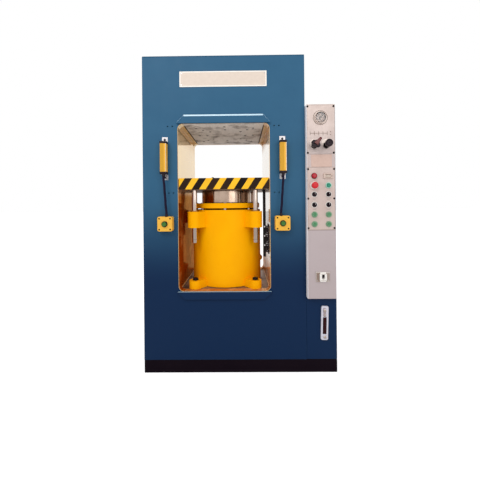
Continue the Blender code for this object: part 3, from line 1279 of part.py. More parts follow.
def make_breaker():
    """Make the circuit breaker in the console's cut-out and its toggle."""
    pocket_back = CONSOLE_FACE + BREAKER_SLOT_DEPTH - SEAT_GAP
    half_width = BREAKER_WIDTH / 2 - SEAT_GAP
    half_height = BREAKER_HEIGHT / 2 - SEAT_GAP
    face = CONSOLE_FACE - BREAKER_PROUD
    form = bmesh.new()
    add_box(
        form, (BREAKER_CENTRE_X - half_width, face, BREAKER_CENTRE_Z - half_height),
        (BREAKER_CENTRE_X + half_width, pocket_back, BREAKER_CENTRE_Z + half_height),
    )
    breaker = finish_piece(as_object("circuit_breaker", form), "white_plastic", PARTS)
    nose = bmesh.new()
    half_width = BREAKER_FACE_WIDTH / 2
    half_height = BREAKER_FACE_HEIGHT / 2
    nose_face = face - BREAKER_FACE_PROUD
    add_box(
        nose, (BREAKER_CENTRE_X - half_width, nose_face, BREAKER_CENTRE_Z - half_height),
        (BREAKER_CENTRE_X + half_width, face + CUT_OVERRUN, BREAKER_CENTRE_Z + half_height),
    )
    boolean(breaker, cutter_from("breaker_nose", nose), "UNION")
    slot = bmesh.new()
    half_width = BREAKER_SLOT_WIDTH / 2
    half_height = BREAKER_SLOT_HEIGHT / 2
    add_box(
        slot, (BREAKER_CENTRE_X - half_width, nose_face - CUT_OVERRUN, BREAKER_CENTRE_Z - half_height),
        (BREAKER_CENTRE_X + half_width, nose_face + BREAKER_SLOT_DEPTH, BREAKER_CENTRE_Z + half_height),
    )
    boolean(breaker, cutter_from("breaker_slot", slot), "DIFFERENCE")

    centre_y = nose_face + BREAKER_SLOT_DEPTH - TOGGLE_BARREL_RADIUS - SEAT_GAP
    origin = Vector((BREAKER_CENTRE_X, centre_y, BREAKER_CENTRE_Z))
    barrel = bmesh.new()
    start = origin - Vector((TOGGLE_WIDTH / 2, 0, 0))
    add_rod(barrel, start, (1, 0, 0), TOGGLE_BARREL_RADIUS, TOGGLE_WIDTH, SMALL_ROUND)
    toggle = finish_piece(as_object("breaker_toggle", barrel, origin), "switch_black", PARTS, smooth=True)
    arm = bmesh.new()
    half = TOGGLE_THICKNESS / 2
    inset = TOGGLE_WIDTH / 2 - SEAT_GAP
    add_box(arm, (-inset, -TOGGLE_LENGTH, -half), (inset, 0, half))
    turn = Matrix.Rotation(-TOGGLE_REST, 4, "X")
    bmesh.ops.transform(arm, verts=arm.verts, matrix=Matrix.Translation(origin) @ turn)
    boolean(toggle, cutter_from("toggle_arm", arm), "UNION")


def make_level_gauge():
    """Make the oil level gauge on the tank: frame with a window, two bolts and the glass."""
    middle_z = LEVEL_BOTTOM + LEVEL_HEIGHT / 2
    centre = Vector((LEVEL_CENTRE_X, -SEAT_GAP, middle_z))
    place = Matrix.Translation(centre) @ Matrix.Rotation(LEVEL_TILT, 4, "Y")
    half_width = LEVEL_WIDTH / 2
    half_height = LEVEL_HEIGHT / 2
    form = bmesh.new()
    add_box(form, (-half_width, -LEVEL_THICKNESS, -half_height), (half_width, 0, half_height))
    upright = [edge for edge in form.edges if abs(edge.verts[0].co.y - edge.verts[1].co.y) > LEVEL_THICKNESS / 2]
    bevel_edges(form, upright, LEVEL_BOLT_HEIGHT)
    bmesh.ops.transform(form, verts=form.verts, matrix=place)
    frame = finish_piece(as_object("oil_level_frame", form), "white_plastic", PARTS)
    window = bmesh.new()
    half_width = LEVEL_WINDOW_WIDTH / 2
    half_height = LEVEL_WINDOW_HEIGHT / 2
    add_box(
        window, (-half_width, -LEVEL_THICKNESS - CUT_OVERRUN, -half_height - LEVEL_WINDOW_DROP),
        (half_width, -LEVEL_THICKNESS + LEVEL_WINDOW_DEPTH, half_height - LEVEL_WINDOW_DROP),
    )
    bmesh.ops.transform(window, verts=window.verts, matrix=place)
    boolean(frame, cutter_from("level_window", window), "DIFFERENCE")
    bolts = bmesh.new()
    for end in (-1, 1):
        start = (0, -LEVEL_THICKNESS / 2, end * LEVEL_BOLT_SPACING / 2)
        length = LEVEL_THICKNESS / 2 + LEVEL_BOLT_HEIGHT
        add_rod(bolts, start, TO_OPERATOR, LEVEL_BOLT_RADIUS, length, VALVE_NUT_SIDES)
    bmesh.ops.transform(bolts, verts=bolts.verts, matrix=place)
    boolean(frame, cutter_from("level_bolts", bolts), "UNION")

    glass = bmesh.new()
    half_width -= LEVEL_GLASS_GAP
    half_height -= LEVEL_GLASS_GAP
    add_box(
        glass, (-half_width, -LEVEL_THICKNESS, -half_height - LEVEL_WINDOW_DROP),
        (half_width, -LEVEL_THICKNESS + LEVEL_WINDOW_DEPTH - LEVEL_GLASS_GAP, half_height - LEVEL_WINDOW_DROP),
    )
    bmesh.ops.transform(glass, verts=glass.verts, matrix=place)
    finish_piece(as_object("oil_level_glass", glass), "oil_red", PARTS)


def stand_on_origin():
    """Move the press so that the middle of its footprint is the origin."""
    bpy.context.view_layer.update()
    graph = bpy.context.evaluated_depsgraph_get()
    corners = []
    for piece in PARTS.objects:
        mesh = piece.evaluated_get(graph).to_mesh()
        corners.extend(piece.matrix_world @ corner.co for corner in mesh.vertices)
        piece.evaluated_get(graph).to_mesh_clear()
    shift = Vector((0, 0, 0))
    for side in (0, 1):
        values = [corner[side] for corner in corners]
        shift[side] = -(min(values) + max(values)) / 2
    for piece in list(PARTS.objects) + list(CUTTERS.objects):
        piece.location += shift


clear_scene()
PARTS = make_collection("hydraulic_press")
CUTTERS = make_collection("cutters")
make_frame_plate("front_frame_plate", 0.0)
make_frame_plate("rear_frame_plate", FRAME_DEPTH - FRAME_PLATE, keepers_outward=True)
make_front_keepers()
make_walls_and_panels()
make_upper_bolster()
make_lower_bolster()
make_cylinder_casting()
make_gland()
make_ram()
make_platen()
make_guide_rods()
make_striker()
make_limit_switches()
for curtain_side, curtain_label in ((-1, "left"), (1, "right")):
    make_light_curtain(curtain_side, curtain_label)
    make_hand_box(curtain_side, curtain_label)
    make_lead(curtain_side, curtain_label)
make_cabinet()
make_console_buttons()
make_indicators()
make_gauge()
make_valves()
make_breaker()
make_level_gauge()
stand_on_origin()
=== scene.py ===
"""Dressed scene of an up-stroking hydraulic press with a window frame and a side console.

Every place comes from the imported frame, in metres: X runs to the operator's
right, Y away from the operator and Z up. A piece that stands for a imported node
is built again with rounder forms, softened edges and its fittings, and every
piece gets a node material of its own finish.
"""

import json
import logging
from dataclasses import dataclass
from enum import Enum
from functools import lru_cache
from math import cos, pi, radians, sin, tau
from typing import Callable

import bmesh
import bpy
from mathutils import Matrix, Vector

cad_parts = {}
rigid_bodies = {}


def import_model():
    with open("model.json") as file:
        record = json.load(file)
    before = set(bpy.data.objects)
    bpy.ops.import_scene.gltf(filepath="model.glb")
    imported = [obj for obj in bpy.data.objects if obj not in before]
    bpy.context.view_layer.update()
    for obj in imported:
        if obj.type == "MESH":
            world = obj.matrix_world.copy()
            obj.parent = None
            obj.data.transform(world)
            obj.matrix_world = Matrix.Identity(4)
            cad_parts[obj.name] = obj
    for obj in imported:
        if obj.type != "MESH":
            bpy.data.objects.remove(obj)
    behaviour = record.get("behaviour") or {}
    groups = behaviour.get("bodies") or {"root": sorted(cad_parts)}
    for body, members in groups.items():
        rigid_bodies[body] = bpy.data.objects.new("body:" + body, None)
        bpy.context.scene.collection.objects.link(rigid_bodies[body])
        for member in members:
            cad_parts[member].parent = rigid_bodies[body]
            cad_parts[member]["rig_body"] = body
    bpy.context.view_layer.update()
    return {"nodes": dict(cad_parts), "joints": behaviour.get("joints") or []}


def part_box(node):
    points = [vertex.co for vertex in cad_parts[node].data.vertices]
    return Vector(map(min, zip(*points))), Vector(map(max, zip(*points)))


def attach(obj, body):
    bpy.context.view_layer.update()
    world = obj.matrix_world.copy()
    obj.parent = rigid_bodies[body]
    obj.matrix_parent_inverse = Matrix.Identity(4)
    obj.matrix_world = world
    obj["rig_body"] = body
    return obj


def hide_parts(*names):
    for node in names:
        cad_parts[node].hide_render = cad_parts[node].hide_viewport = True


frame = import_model()

LOG = logging.getLogger("hydraulic_press")
SMOOTH_ANGLE = radians(50)
PLATE_LOW, PLATE_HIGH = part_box("front_frame_plate")
WINDOW_MIDDLE = (PLATE_LOW.x + PLATE_HIGH.x) / 2
FRONT_FACE = PLATE_LOW.y
BARREL_DEPTH = 0.280
BARREL_MIDDLE = FRONT_FACE + BARREL_DEPTH
AXIS = Vector((WINDOW_MIDDLE, BARREL_MIDDLE, 0))
SEAT_GAP = 0.0003
RUNNING_GAP = 0.0006
INLAY = 0.0004
RAM_RADIUS = 0.1625
SIDES = ("left", "right")
SELECTORS = [f"{row}_{side}_selector" for row in ("upper", "lower") for side in SIDES]
GREEN_BUTTONS = [f"{row}_{side}_button" for row in ("upper", "lower") for side in SIDES]
BUTTONS = ["start_button"] + GREEN_BUTTONS

Profile = list[tuple[float, float]]
Colour = tuple[float, float, float]
Socket = bpy.types.NodeSocket


def place(across: float, back: float, height: float) -> Vector:
    """Give a point in the row frame.

    Args:
        across: Distance to the right of the window's middle.
        back: Distance behind the front plate's face.
        height: Distance above the floor.

    Returns:
        The same point in the row frame.
    """
    return Vector((WINDOW_MIDDLE + across, FRONT_FACE + back, height))


def row_x(across: float) -> float:
    """Return X in the row frame of what lies to the right of the window's middle."""
    return place(across, 0, 0).x


def shade(red: int, green: int, blue: int) -> Colour:
    """Turn a display colour of 0 to 255 into the linear values that a shader takes."""
    values = [channel / 255 for channel in (red, green, blue)]
    return tuple(v / 12.92 if v <= 0.04045 else ((v + 0.055) / 1.055) ** 2.4 for v in values)


class Way(Enum):
    """The directions in which turned and drawn shapes run."""

    UP = (0, 0, 1)
    DOWN = (0, 0, -1)
    FRONT = (0, -1, 0)
    BACK = (0, 1, 0)
    RIGHT = (1, 0, 0)
    LEFT = (-1, 0, 0)

    def step(self, length: float) -> Vector:
        """Return a step of some length this way."""
        return Vector(self.value) * length


class Grain(Enum):
    """How the brush or cutter marks of a bare metal run, as a stretch of the pattern."""

    ACROSS = (2.0, 60.0, 60.0)
    UPRIGHT = (60.0, 60.0, 2.0)
    DEEP = (60.0, 2.0, 60.0)
    NONE = (14.0, 14.0, 14.0)


@dataclass(frozen=True)
class Seat:
    """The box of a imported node, and what a fitting in its place takes from it."""

    low: Vector
    high: Vector

    @property
    def x(self) -> float:
        """Return X of its middle."""
        return (self.low.x + self.high.x) / 2

    @property
    def z(self) -> float:
        """Return Z of its middle."""
        return (self.low.z + self.high.z) / 2

    @property
    def depth(self) -> float:
        """Return how deep it is."""
        return self.high.y - self.low.y

    @property
    def radius(self) -> float:
        """Return half its width."""
        return (self.high.x - self.low.x) / 2

    @property
    def back(self) -> Vector:
        """Return the middle of its back face."""
        return self.middle_at(self.high.y)

    def middle_at(self, back: float) -> Vector:
        """Return its middle, seen from the front, at any Y."""
        return Vector((self.x, back, self.z))


# Node sheets and the effects that several finishes share


class Wiring:
    """Short hand for a node tree while it is wired."""

    def __init__(self, tree: bpy.types.NodeTree) -> None:
        """Keep the tree."""
        self.tree = tree

    def node(self, kind: str, values: dict | None = None, **settings: object) -> bpy.types.Node:
        """Add a node.

        Args:
            kind: The node's type name.
            values: Socket values by socket name or index; a socket is linked, another value is set.
            settings: The node's own properties.

        Returns:
            The new node.
        """
        made = self.tree.nodes.new(kind)
        for name, value in settings.items():
            setattr(made, name, value)
        for name, value in (values or {}).items():
            self.feed(made.inputs[name], value)
        return made

    def feed(self, socket: Socket, value: object) -> None:
        """Link a socket to another, or set its value.

        Args:
            socket: The input.
            value: A socket, or a plain value.
        """
        if isinstance(value, Socket):
            self.tree.links.new(value, socket)
        elif isinstance(value, tuple) and len(value) == 3 and socket.type == "RGBA":
            socket.default_value = (*value, 1.0)
        else:
            socket.default_value = value

    def fill(self, node: bpy.types.Node, **values: object) -> bpy.types.Node:
        """Link or set a node's inputs.

        Args:
            node: The node.
            values: What goes in, by the input's name with _ for each space.

        Returns:
            The node.
        """
        for name, value in values.items():
            self.feed(node.inputs[name.replace("_", " ")], value)
        return node

    def math(self, operation: str, first: object, second: object = 0.0, clamp: bool = False) -> Socket:
        """Add a Math node and return its result."""
        return self.node("ShaderNodeMath", {0: first, 1: second}, operation=operation, use_clamp=clamp).outputs[0]

    def scaled(self, value: object, factor: float, base: float) -> Socket:
        """Return a value times a factor, plus a base."""
        return self.node("ShaderNodeMath", {0: value, 1: factor, 2: base}, operation="MULTIPLY_ADD").outputs[0]

    def ramp(self, value: object, low: float, high: float, to_low: float = 0.0, to_high: float = 1.0) -> Socket:
        """Add a smooth Map Range node and return its result."""
        values = {"Value": value, "From Min": low, "From Max": high, "To Min": to_low, "To Max": to_high}
        return self.node("ShaderNodeMapRange", values, interpolation_type="SMOOTHSTEP", clamp=True).outputs[0]

    def blend(self, share: object, first: object, second: object) -> Socket:
        """Mix two colours and return the result."""
        values = {0: share, 6: first, 7: second}
        return self.node("ShaderNodeMix", values, data_type="RGBA", blend_type="MIX").outputs[2]

    def noise(self, vector: object, scale: object, detail: float, **more: float) -> Socket:
        """Add a Noise texture and return its value."""
        made = self.node("ShaderNodeTexNoise", {"Vector": vector, "Scale": scale, "Detail": detail})
        return self.fill(made, **more).outputs["Fac"]

    def bump(self, height: Socket, strength: Socket, distance: float) -> Socket:
        """Add a Bump node and return its normal."""
        values = {"Strength": strength, "Distance": distance, "Height": height}
        return self.node("ShaderNodeBump", values).outputs[0]

    def effect(self, group: bpy.types.NodeTree, **values: object) -> bpy.types.Node:
        """Place a shared effect with its own values."""
        return self.fill(self.node("ShaderNodeGroup", node_tree=group), **values)


VECTOR_SOCKETS = {"Vector", "Stretch", "Normal"}


def shared_effect(inputs: str, outputs: str) -> Callable:
    """Make a decorator that turns the wiring of an effect into its node group.

    Args:
        inputs: The names of the group's inputs.
        outputs: The names of its outputs.

    Returns:
        The decorator. What it decorates takes the group's wiring and input sockets, and gives what goes to
        each output. The result is a function that returns the group, made when it is first needed.
    """

    def decorate(wire: Callable[[Wiring, object], dict[str, Socket]]) -> Callable[[], bpy.types.NodeTree]:
        """Turn the wiring of one effect into the function that returns its group.

        Args:
            wire: The wiring.

        Returns:
            The function.
        """

        @lru_cache(maxsize=None)
        def group() -> bpy.types.NodeTree:
            """Make the group of this effect.

            Returns:
                The group.
            """
            tree = bpy.data.node_groups.new(wire.__name__, "ShaderNodeTree")
            for names, side in ((inputs, "INPUT"), (outputs, "OUTPUT")):
                for label in names.split():
                    kind = "NodeSocketVector" if label in VECTOR_SOCKETS else "NodeSocketFloat"
                    tree.interface.new_socket(name=label, in_out=side, socket_type=kind)
            wiring = Wiring(tree)
            given = wiring.node("NodeGroupInput").outputs
            wiring.fill(wiring.node("NodeGroupOutput"), **wire(wiring, given))
            return tree

        return group

    return decorate


@shared_effect("Vector Scale Low High", "Mask")
def blotches(wiring: Wiring, given: object) -> dict[str, Socket]:
    """Wire soft cloudy patches, as a mask.

    Args:
        wiring: The group's node sheet.
        given: The group's input sockets.

    Returns:
        What goes to each output.
    """
    cloud = wiring.noise(given["Vector"], given["Scale"], 4.0, Roughness=0.6)
    values = {"Value": cloud, "From Min": given["Low"], "From Max": given["High"]}
    return {"Mask": wiring.node("ShaderNodeMapRange", values, clamp=True).outputs[0]}


@shared_effect("Vector Width Amount", "Mask")
def edge_wear(wiring: Wiring, given: object) -> dict[str, Socket]:
    """Wire a mask that finds outer edges and breaks them up into worn spots.

    Args:
        wiring: The group's node sheet.
        given: The group's input sockets.

    Returns:
        What goes to each output.
    """
    rounded_off = wiring.node("ShaderNodeBevel", {"Radius": given["Width"]}, samples=4).outputs[0]
    plain = wiring.node("ShaderNodeNewGeometry").outputs["Normal"]
    same = wiring.node("ShaderNodeVectorMath", {0: rounded_off, 1: plain}, operation="DOT_PRODUCT").outputs["Value"]
    edge = wiring.ramp(wiring.math("SUBTRACT", 1.0, same), 0.01, 0.14)
    broken = wiring.ramp(wiring.noise(given["Vector"], 60.0, 3.0), 0.42, 0.62)
    return {"Mask": wiring.math("MULTIPLY", wiring.math("MULTIPLY", edge, broken), given["Amount"], clamp=True)}


@shared_effect("Vector Scale Strength", "Normal")
def fine_skin(wiring: Wiring, given: object) -> dict[str, Socket]:
    """Wire the small waves of paint or moulded plastic, as a normal.

    Args:
        wiring: The group's node sheet.
        given: The group's input sockets.

    Returns:
        What goes to each output.
    """
    return {"Normal": wiring.bump(wiring.noise(given["Vector"], given["Scale"], 3.0), given["Strength"], 0.001)}


@shared_effect("Vector Stretch Scale Strength", "Marks Normal")
def brushing(wiring: Wiring, given: object) -> dict[str, Socket]:
    """Wire brush or cutter marks, as a value and a normal.

    Args:
        wiring: The group's node sheet.
        given: The group's input sockets.

    Returns:
        What goes to each output.
    """
    values = {0: given["Vector"], 1: given["Stretch"]}
    stretched = wiring.node("ShaderNodeVectorMath", values, operation="MULTIPLY").outputs[0]
    marks = wiring.noise(stretched, given["Scale"], 5.0)
    return {"Marks": marks, "Normal": wiring.bump(marks, given["Strength"], 0.0006)}


@shared_effect("Vector Amount", "Mask")
def settled_dust(wiring: Wiring, given: object) -> dict[str, Socket]:
    """Wire a mask of the dust that lies on faces that look up.

    Args:
        wiring: The group's node sheet.
        given: The group's input sockets.

    Returns:
        What goes to each output.
    """
    plain = wiring.node("ShaderNodeNewGeometry").outputs["Normal"]
    upward = wiring.ramp(wiring.node("ShaderNodeSeparateXYZ", {0: plain}).outputs["Z"], 0.4, 0.95)
    uneven = wiring.ramp(wiring.noise(given["Vector"], 18.0, 5.0), 0.35, 0.7)
    return {"Mask": wiring.math("MULTIPLY", wiring.math("MULTIPLY", upward, uneven), given["Amount"], clamp=True)}


class Sheet(Wiring):
    """The node sheet of a material, with the shared effects on its Object coordinates."""

    def __init__(self, tree: bpy.types.NodeTree) -> None:
        """Keep the tree and place its coordinates."""
        super().__init__(tree)
        self.where = self.node("ShaderNodeTexCoord").outputs["Object"]

    def split(self) -> bpy.types.Node:
        """Return the coordinates split into X, Y and Z."""
        return self.node("ShaderNodeSeparateXYZ", {0: self.where})

    def patches(self, scale: float, low: float, high: float) -> Socket:
        """Return a mask of cloudy patches."""
        return self.effect(blotches(), Vector=self.where, Scale=scale, Low=low, High=high).outputs[0]

    def worn(self, body: Socket, bare: Colour, width: float, amount: float) -> Socket:
        """Lay the colour of bare edges over the body's colour."""
        mask = self.effect(edge_wear(), Vector=self.where, Width=width, Amount=amount).outputs[0]
        return self.blend(mask, body, bare)

    def dust(self, amount: float) -> Socket:
        """Return a mask of settled dust."""
        return self.effect(settled_dust(), Vector=self.where, Amount=amount).outputs[0]

    def skin(self, scale: float, strength: float) -> Socket:
        """Return the normal of a fine skin."""
        return self.effect(fine_skin(), Vector=self.where, Scale=scale, Strength=strength).outputs[0]

    def above(self, heights: tuple[float, float], low_shade_colour: Colour, body: Socket) -> Socket:
        """Paint shade: let the body's colour take over from a darker lower colour between two heights."""
        return self.blend(self.ramp(self.split().outputs["Z"], *heights), low_shade_colour, body)


@dataclass(frozen=True)
class Finish:
    """What every finish has, and how its material is made."""

    name: str
    colour: Colour

    def material(self) -> bpy.types.Material:
        """Build the node material.

        Returns:
            The material.
        """
        material = bpy.data.materials.new(self.name)
        material.use_nodes = True
        sheet = Sheet(material.node_tree)
        sheet.fill(material.node_tree.nodes["Principled BSDF"], **self.wire(sheet))
        return material

    def wire(self, sheet: Sheet) -> dict[str, object]:
        """Wire the finish.

        Args:
            sheet: The material's node sheet.

        Returns:
            What goes into the shader, by input name with _ for each space.
        """
        return {"Base_Color": self.colour}


@dataclass(frozen=True)
class Enamel(Finish):
    """Sprayed enamel on plate or casting, with cloudy shade, dust, worn edges and paint skin, and where a low colour
    is set, painted shade that darkens it towards the floor.
    """

    cloud: Colour
    bare: Colour
    roughness: float = 0.3
    cloud_share: float = 0.5
    cloud_scale: float = 5.0
    skin_scale: float = 220.0
    skin_strength: float = 0.06
    wear: float = 0.35
    wear_width: float = 0.002
    dust: float = 0.15
    low_shade_colour: Colour | None = None
    low_shade_heights: tuple[float, float] = (0.0, 1.0)
    gloss: float = 0.5
    smear_roughness: float = 0.12
    dust_roughness: float = 0.9
    dust_colour: Colour = shade(176, 168, 156)

    def wire(self, sheet: Sheet) -> dict[str, object]:
        """Wire the enamel.

        Args:
            sheet: The material's node sheet.

        Returns:
            What goes into the shader, as Finish.wire says.
        """
        share = sheet.math("MULTIPLY", sheet.patches(self.cloud_scale, 0.35, 0.7), self.cloud_share)
        body = sheet.blend(share, self.colour, self.cloud)
        # Painted shade: below the given heights the colour turns to the darker low colour.
        if self.low_shade_colour:
            body = sheet.above(self.low_shade_heights, self.low_shade_colour, body)
        body = sheet.worn(body, self.bare, self.wear_width, self.wear)
        dusty = sheet.dust(self.dust)
        smear = sheet.scaled(sheet.patches(self.cloud_scale * 3, 0.3, 0.8), self.smear_roughness, self.roughness)
        return {
            "Base_Color": sheet.blend(dusty, body, self.dust_colour),
            "Roughness": sheet.math("MAXIMUM", smear, sheet.math("MULTIPLY", dusty, self.dust_roughness)),
            "Specular_IOR_Level": self.gloss,
            "Normal": sheet.skin(self.skin_scale, self.skin_strength),
        }


@dataclass(frozen=True)
class HazardEnamel(Finish):
    """Yellow enamel with slanted black bands, scuffed and a little uneven."""

    black: Colour
    pitch: float = 0.0818
    black_share: float = 0.53
    start: float = -0.335
    lean: float = 0.65
    middle_height: float = 1.097
    faded_black: Colour = shade(70, 46, 30)
    deep_yellow: Colour = shade(226, 150, 24)
    bare: Colour = shade(150, 140, 128)
    roughness: float = 0.35
    gloss: float = 0.12

    def wire(self, sheet: Sheet) -> dict[str, object]:
        """Wire the bands.

        Args:
            sheet: The material's node sheet.

        Returns:
            What goes into the shader, as Finish.wire says.
        """
        split = sheet.split()
        lean = sheet.math("MULTIPLY", sheet.math("SUBTRACT", split.outputs["Z"], self.middle_height), self.lean)
        along = sheet.math("SUBTRACT", sheet.math("SUBTRACT", split.outputs["X"], lean), self.start)
        turns = sheet.math("DIVIDE", along, self.pitch)
        band = sheet.math("LESS_THAN", sheet.math("FRACT", turns), self.black_share)
        values = {"W": sheet.math("FLOOR", turns)}
        faded = sheet.node("ShaderNodeTexWhiteNoise", values, noise_dimensions="1D").outputs["Value"]
        black = sheet.blend(sheet.math("MULTIPLY", faded, 0.4), self.black, self.faded_black)
        patches = sheet.patches(24.0, 0.4, 0.75)
        yellow = sheet.blend(sheet.math("MULTIPLY", patches, 0.35), self.colour, self.deep_yellow)
        return {
            "Base_Color": sheet.worn(sheet.blend(band, yellow, black), self.bare, 0.003, 0.5),
            "Roughness": sheet.scaled(patches, 0.2, self.roughness),
            "Specular_IOR_Level": self.gloss,
            "Normal": sheet.skin(240.0, 0.06),
        }


@dataclass(frozen=True)
class WindowEnamel(Finish):
    """Mirror-like golden enamel on the window's walls, painted darker orange low down by the cylinder and just under
    the ceiling: painted shade and reflection.
    """

    wall_shade: Colour
    # The second, darker tone of the painted shade patches.
    smear: Colour
    wall_shade_heights: tuple[float, float] = (1.02, 1.12)
    top_shade_heights: tuple[float, float] = (1.33, 1.41)
    top_shade_share: float = 0.22
    sheen: Colour = (1.0, 0.74, 0.4)
    mirror: tuple[float, float] = (0.42, 0.6)
    bare: Colour = shade(246, 226, 190)
    coat_roughness: float = 0.05
    coat_ior: float = 1.9

    def wire(self, sheet: Sheet) -> dict[str, object]:
        """Wire the clear enamel and its painted shade.

        Args:
            sheet: The material's node sheet.

        Returns:
            What goes into the shader, as Finish.wire says.
        """
        # Painted shade and reflection: low on the wall and just under the ceiling, the colour turns to the darker
        # shade tones and the coat and metal fade.
        height = sheet.split().outputs["Z"]
        above = sheet.ramp(height, *self.wall_shade_heights)
        below = sheet.ramp(height, *self.top_shade_heights, 1.0, 1.0 - self.top_shade_share)
        clear = sheet.math("MULTIPLY", above, below)
        patches = sheet.patches(7.0, 0.48, 0.64)
        shaded_tone = sheet.blend(sheet.math("MULTIPLY", patches, 0.6), self.wall_shade, self.smear)
        return {
            "Base_Color": sheet.worn(sheet.blend(clear, shaded_tone, self.colour), self.bare, 0.002, 0.4),
            "Roughness": sheet.ramp(patches, 0.0, 1.0, 0.07, 0.2),
            "Coat_Weight": clear,
            "Metallic": sheet.ramp(clear, 0.0, 1.0, *self.mirror),
            "Specular_IOR_Level": 0.0,
            "Specular_Tint": self.sheen,
            "Coat_Roughness": self.coat_roughness,
            "Coat_IOR": self.coat_ior,
            "Normal": sheet.skin(30.0, 0.05),
        }


@dataclass(frozen=True)
class BareMetal(Finish):
    """Bare metal: machined, brushed, polished or blacked, with stains where oil has stood, and where a low colour is
    set, painted shade that darkens it towards the floor.
    """

    stain: Colour
    roughness: float = 0.3
    grain: Grain = Grain.NONE
    grain_scale: float = 8.0
    grain_strength: float = 0.15
    stain_share: float = 0.3
    stain_scale: float = 9.0
    streak_share: float = 0.35
    streak_shade: float = 0.72
    low_shade_colour: Colour | None = None
    low_shade_heights: tuple[float, float] = (0.0, 1.0)
    metallic: float = 1.0
    gloss: float = 0.5

    def wire(self, sheet: Sheet) -> dict[str, object]:
        """Wire the metal.

        Args:
            sheet: The material's node sheet.

        Returns:
            What goes into the shader, as Finish.wire says.
        """
        marks = sheet.effect(
            brushing(), Vector=sheet.where, Stretch=self.grain.value, Scale=self.grain_scale,
            Strength=self.grain_strength,
        )
        share = sheet.math("MULTIPLY", sheet.patches(self.stain_scale, 0.48, 0.68), self.stain_share)
        streak = sheet.ramp(marks.outputs["Marks"], 0.3, 0.75, 0.0, self.streak_share)
        body = sheet.blend(streak, self.colour, tuple(channel * self.streak_shade for channel in self.colour))
        body = sheet.blend(share, body, self.stain)
        # Painted shade: below the given heights the colour turns to the darker low colour.
        if self.low_shade_colour:
            body = sheet.above(self.low_shade_heights, self.low_shade_colour, body)
        return {
            "Base_Color": body,
            "Roughness": sheet.scaled(share, 0.35, self.roughness),
            "Metallic": self.metallic,
            "Specular_IOR_Level": self.gloss,
            "Normal": marks.outputs["Normal"],
        }


@dataclass(frozen=True)
class Moulded(Finish):
    """Moulded plastic or rubber with a fine skin and a touch of dust."""

    cloud: Colour
    roughness: float = 0.4
    skin_scale: float = 900.0
    skin_strength: float = 0.08
    gloss: float = 0.3
    dust: float = 0.18
    dust_colour: Colour = shade(168, 162, 154)

    def wire(self, sheet: Sheet) -> dict[str, object]:
        """Wire the plastic.

        Args:
            sheet: The material's node sheet.

        Returns:
            What goes into the shader, as Finish.wire says.
        """
        patches = sheet.patches(70.0, 0.35, 0.75)
        body = sheet.blend(sheet.math("MULTIPLY", patches, 0.5), self.colour, self.cloud)
        return {
            "Base_Color": sheet.blend(sheet.dust(self.dust), body, self.dust_colour),
            "Roughness": sheet.scaled(patches, 0.1, self.roughness),
            "Specular_IOR_Level": self.gloss,
            "Normal": sheet.skin(self.skin_scale, self.skin_strength),
        }


@dataclass(frozen=True)
class Glazing(Finish):
    """Clear or tinted glass."""

    roughness: float = 0.03
    ior: float = 1.45
    smear_shade: float = 0.9

    def wire(self, sheet: Sheet) -> dict[str, object]:
        """Wire the glass.

        Args:
            sheet: The material's node sheet.

        Returns:
            What goes into the shader, as Finish.wire says.
        """
        smeared = tuple(channel * self.smear_shade for channel in self.colour)
        return {
            "Base_Color": sheet.blend(sheet.patches(40.0, 0.5, 0.9), self.colour, smeared),
            "Roughness": self.roughness,
            "IOR": self.ior,
            "Transmission_Weight": 1.0,
        }


@lru_cache(maxsize=None)
def material_of(finish: Finish) -> bpy.types.Material:
    """Return the one material of a finish, built when it is first needed."""
    return finish.material()


# The blue is painted darker towards the floor: painted shade.
PRESS_BLUE = Enamel(
    "press_blue_enamel", shade(51, 96, 127), shade(45, 88, 119), shade(96, 136, 160), roughness=0.42,
    low_shade_colour=shade(10, 38, 72), low_shade_heights=(0.50, 1.12), wear=0.25, dust=0.07, gloss=0.12, skin_strength=0.03,
)
# Pale blues of the keepers' upward faces and of the upper one's top strip: painted highlights.
HIGHLIGHT_BLUE = Enamel(
    "keeper_highlight_blue", shade(206, 232, 246), shade(176, 212, 234), shade(232, 240, 246), roughness=0.3, wear=0.4,
)
PLINTH_BLACK = Enamel(
    "plinth_black_enamel", shade(17, 8, 17), shade(24, 14, 22), shade(60, 52, 56), roughness=0.6, wear=0.3,
    dust=0.05, gloss=0.05,
)
LEDGE_HIGHLIGHT_BLUE = Enamel(
    "lower_ledge_highlight_blue", shade(150, 178, 194), shade(120, 152, 172), shade(196, 208, 214), roughness=0.35, wear=0.4,
    dust=0.1, gloss=0.3,
)
# Paler golden enamel for the window's edges, the wall flanges and the foot beads: painted highlight for the light they
# catch.
EDGE_CREAM_HIGHLIGHT = Enamel(
    "window_edge_highlight_cream", shade(236, 190, 116), shade(222, 168, 86), shade(250, 228, 184), roughness=0.25,
    wear=0.3, gloss=0.3, dust=0.0,
)
# The walls' lower parts and the band under the ceiling are painted darker: painted shade and reflection.
LEFT_WALL = WindowEnamel("left_wall_enamel", shade(255, 234, 186), shade(164, 72, 4), shade(232, 158, 80))
RIGHT_WALL = WindowEnamel(
    "right_wall_enamel", shade(255, 246, 230), shade(196, 126, 56), shade(240, 212, 170), wall_shade_heights=(0.56, 0.70),
    top_shade_share=0.75, sheen=(1.0, 0.92, 0.8),
)
CAST_YELLOW = Enamel(
    "cast_yellow_enamel", shade(254, 178, 2), shade(248, 162, 1), shade(226, 160, 50), roughness=0.3,
    cloud_scale=6.0, skin_scale=95.0, skin_strength=0.12, wear=0.2, wear_width=0.003, gloss=0.04, dust=0.0,
)
PLATEN_YELLOW = Enamel(
    "platen_yellow_enamel", shade(250, 184, 30), shade(226, 158, 26), shade(140, 130, 118), roughness=0.35, wear=0.5,
)
PLATEN_BANDS = HazardEnamel("platen_hazard_bands", shade(252, 194, 44), shade(22, 12, 8))
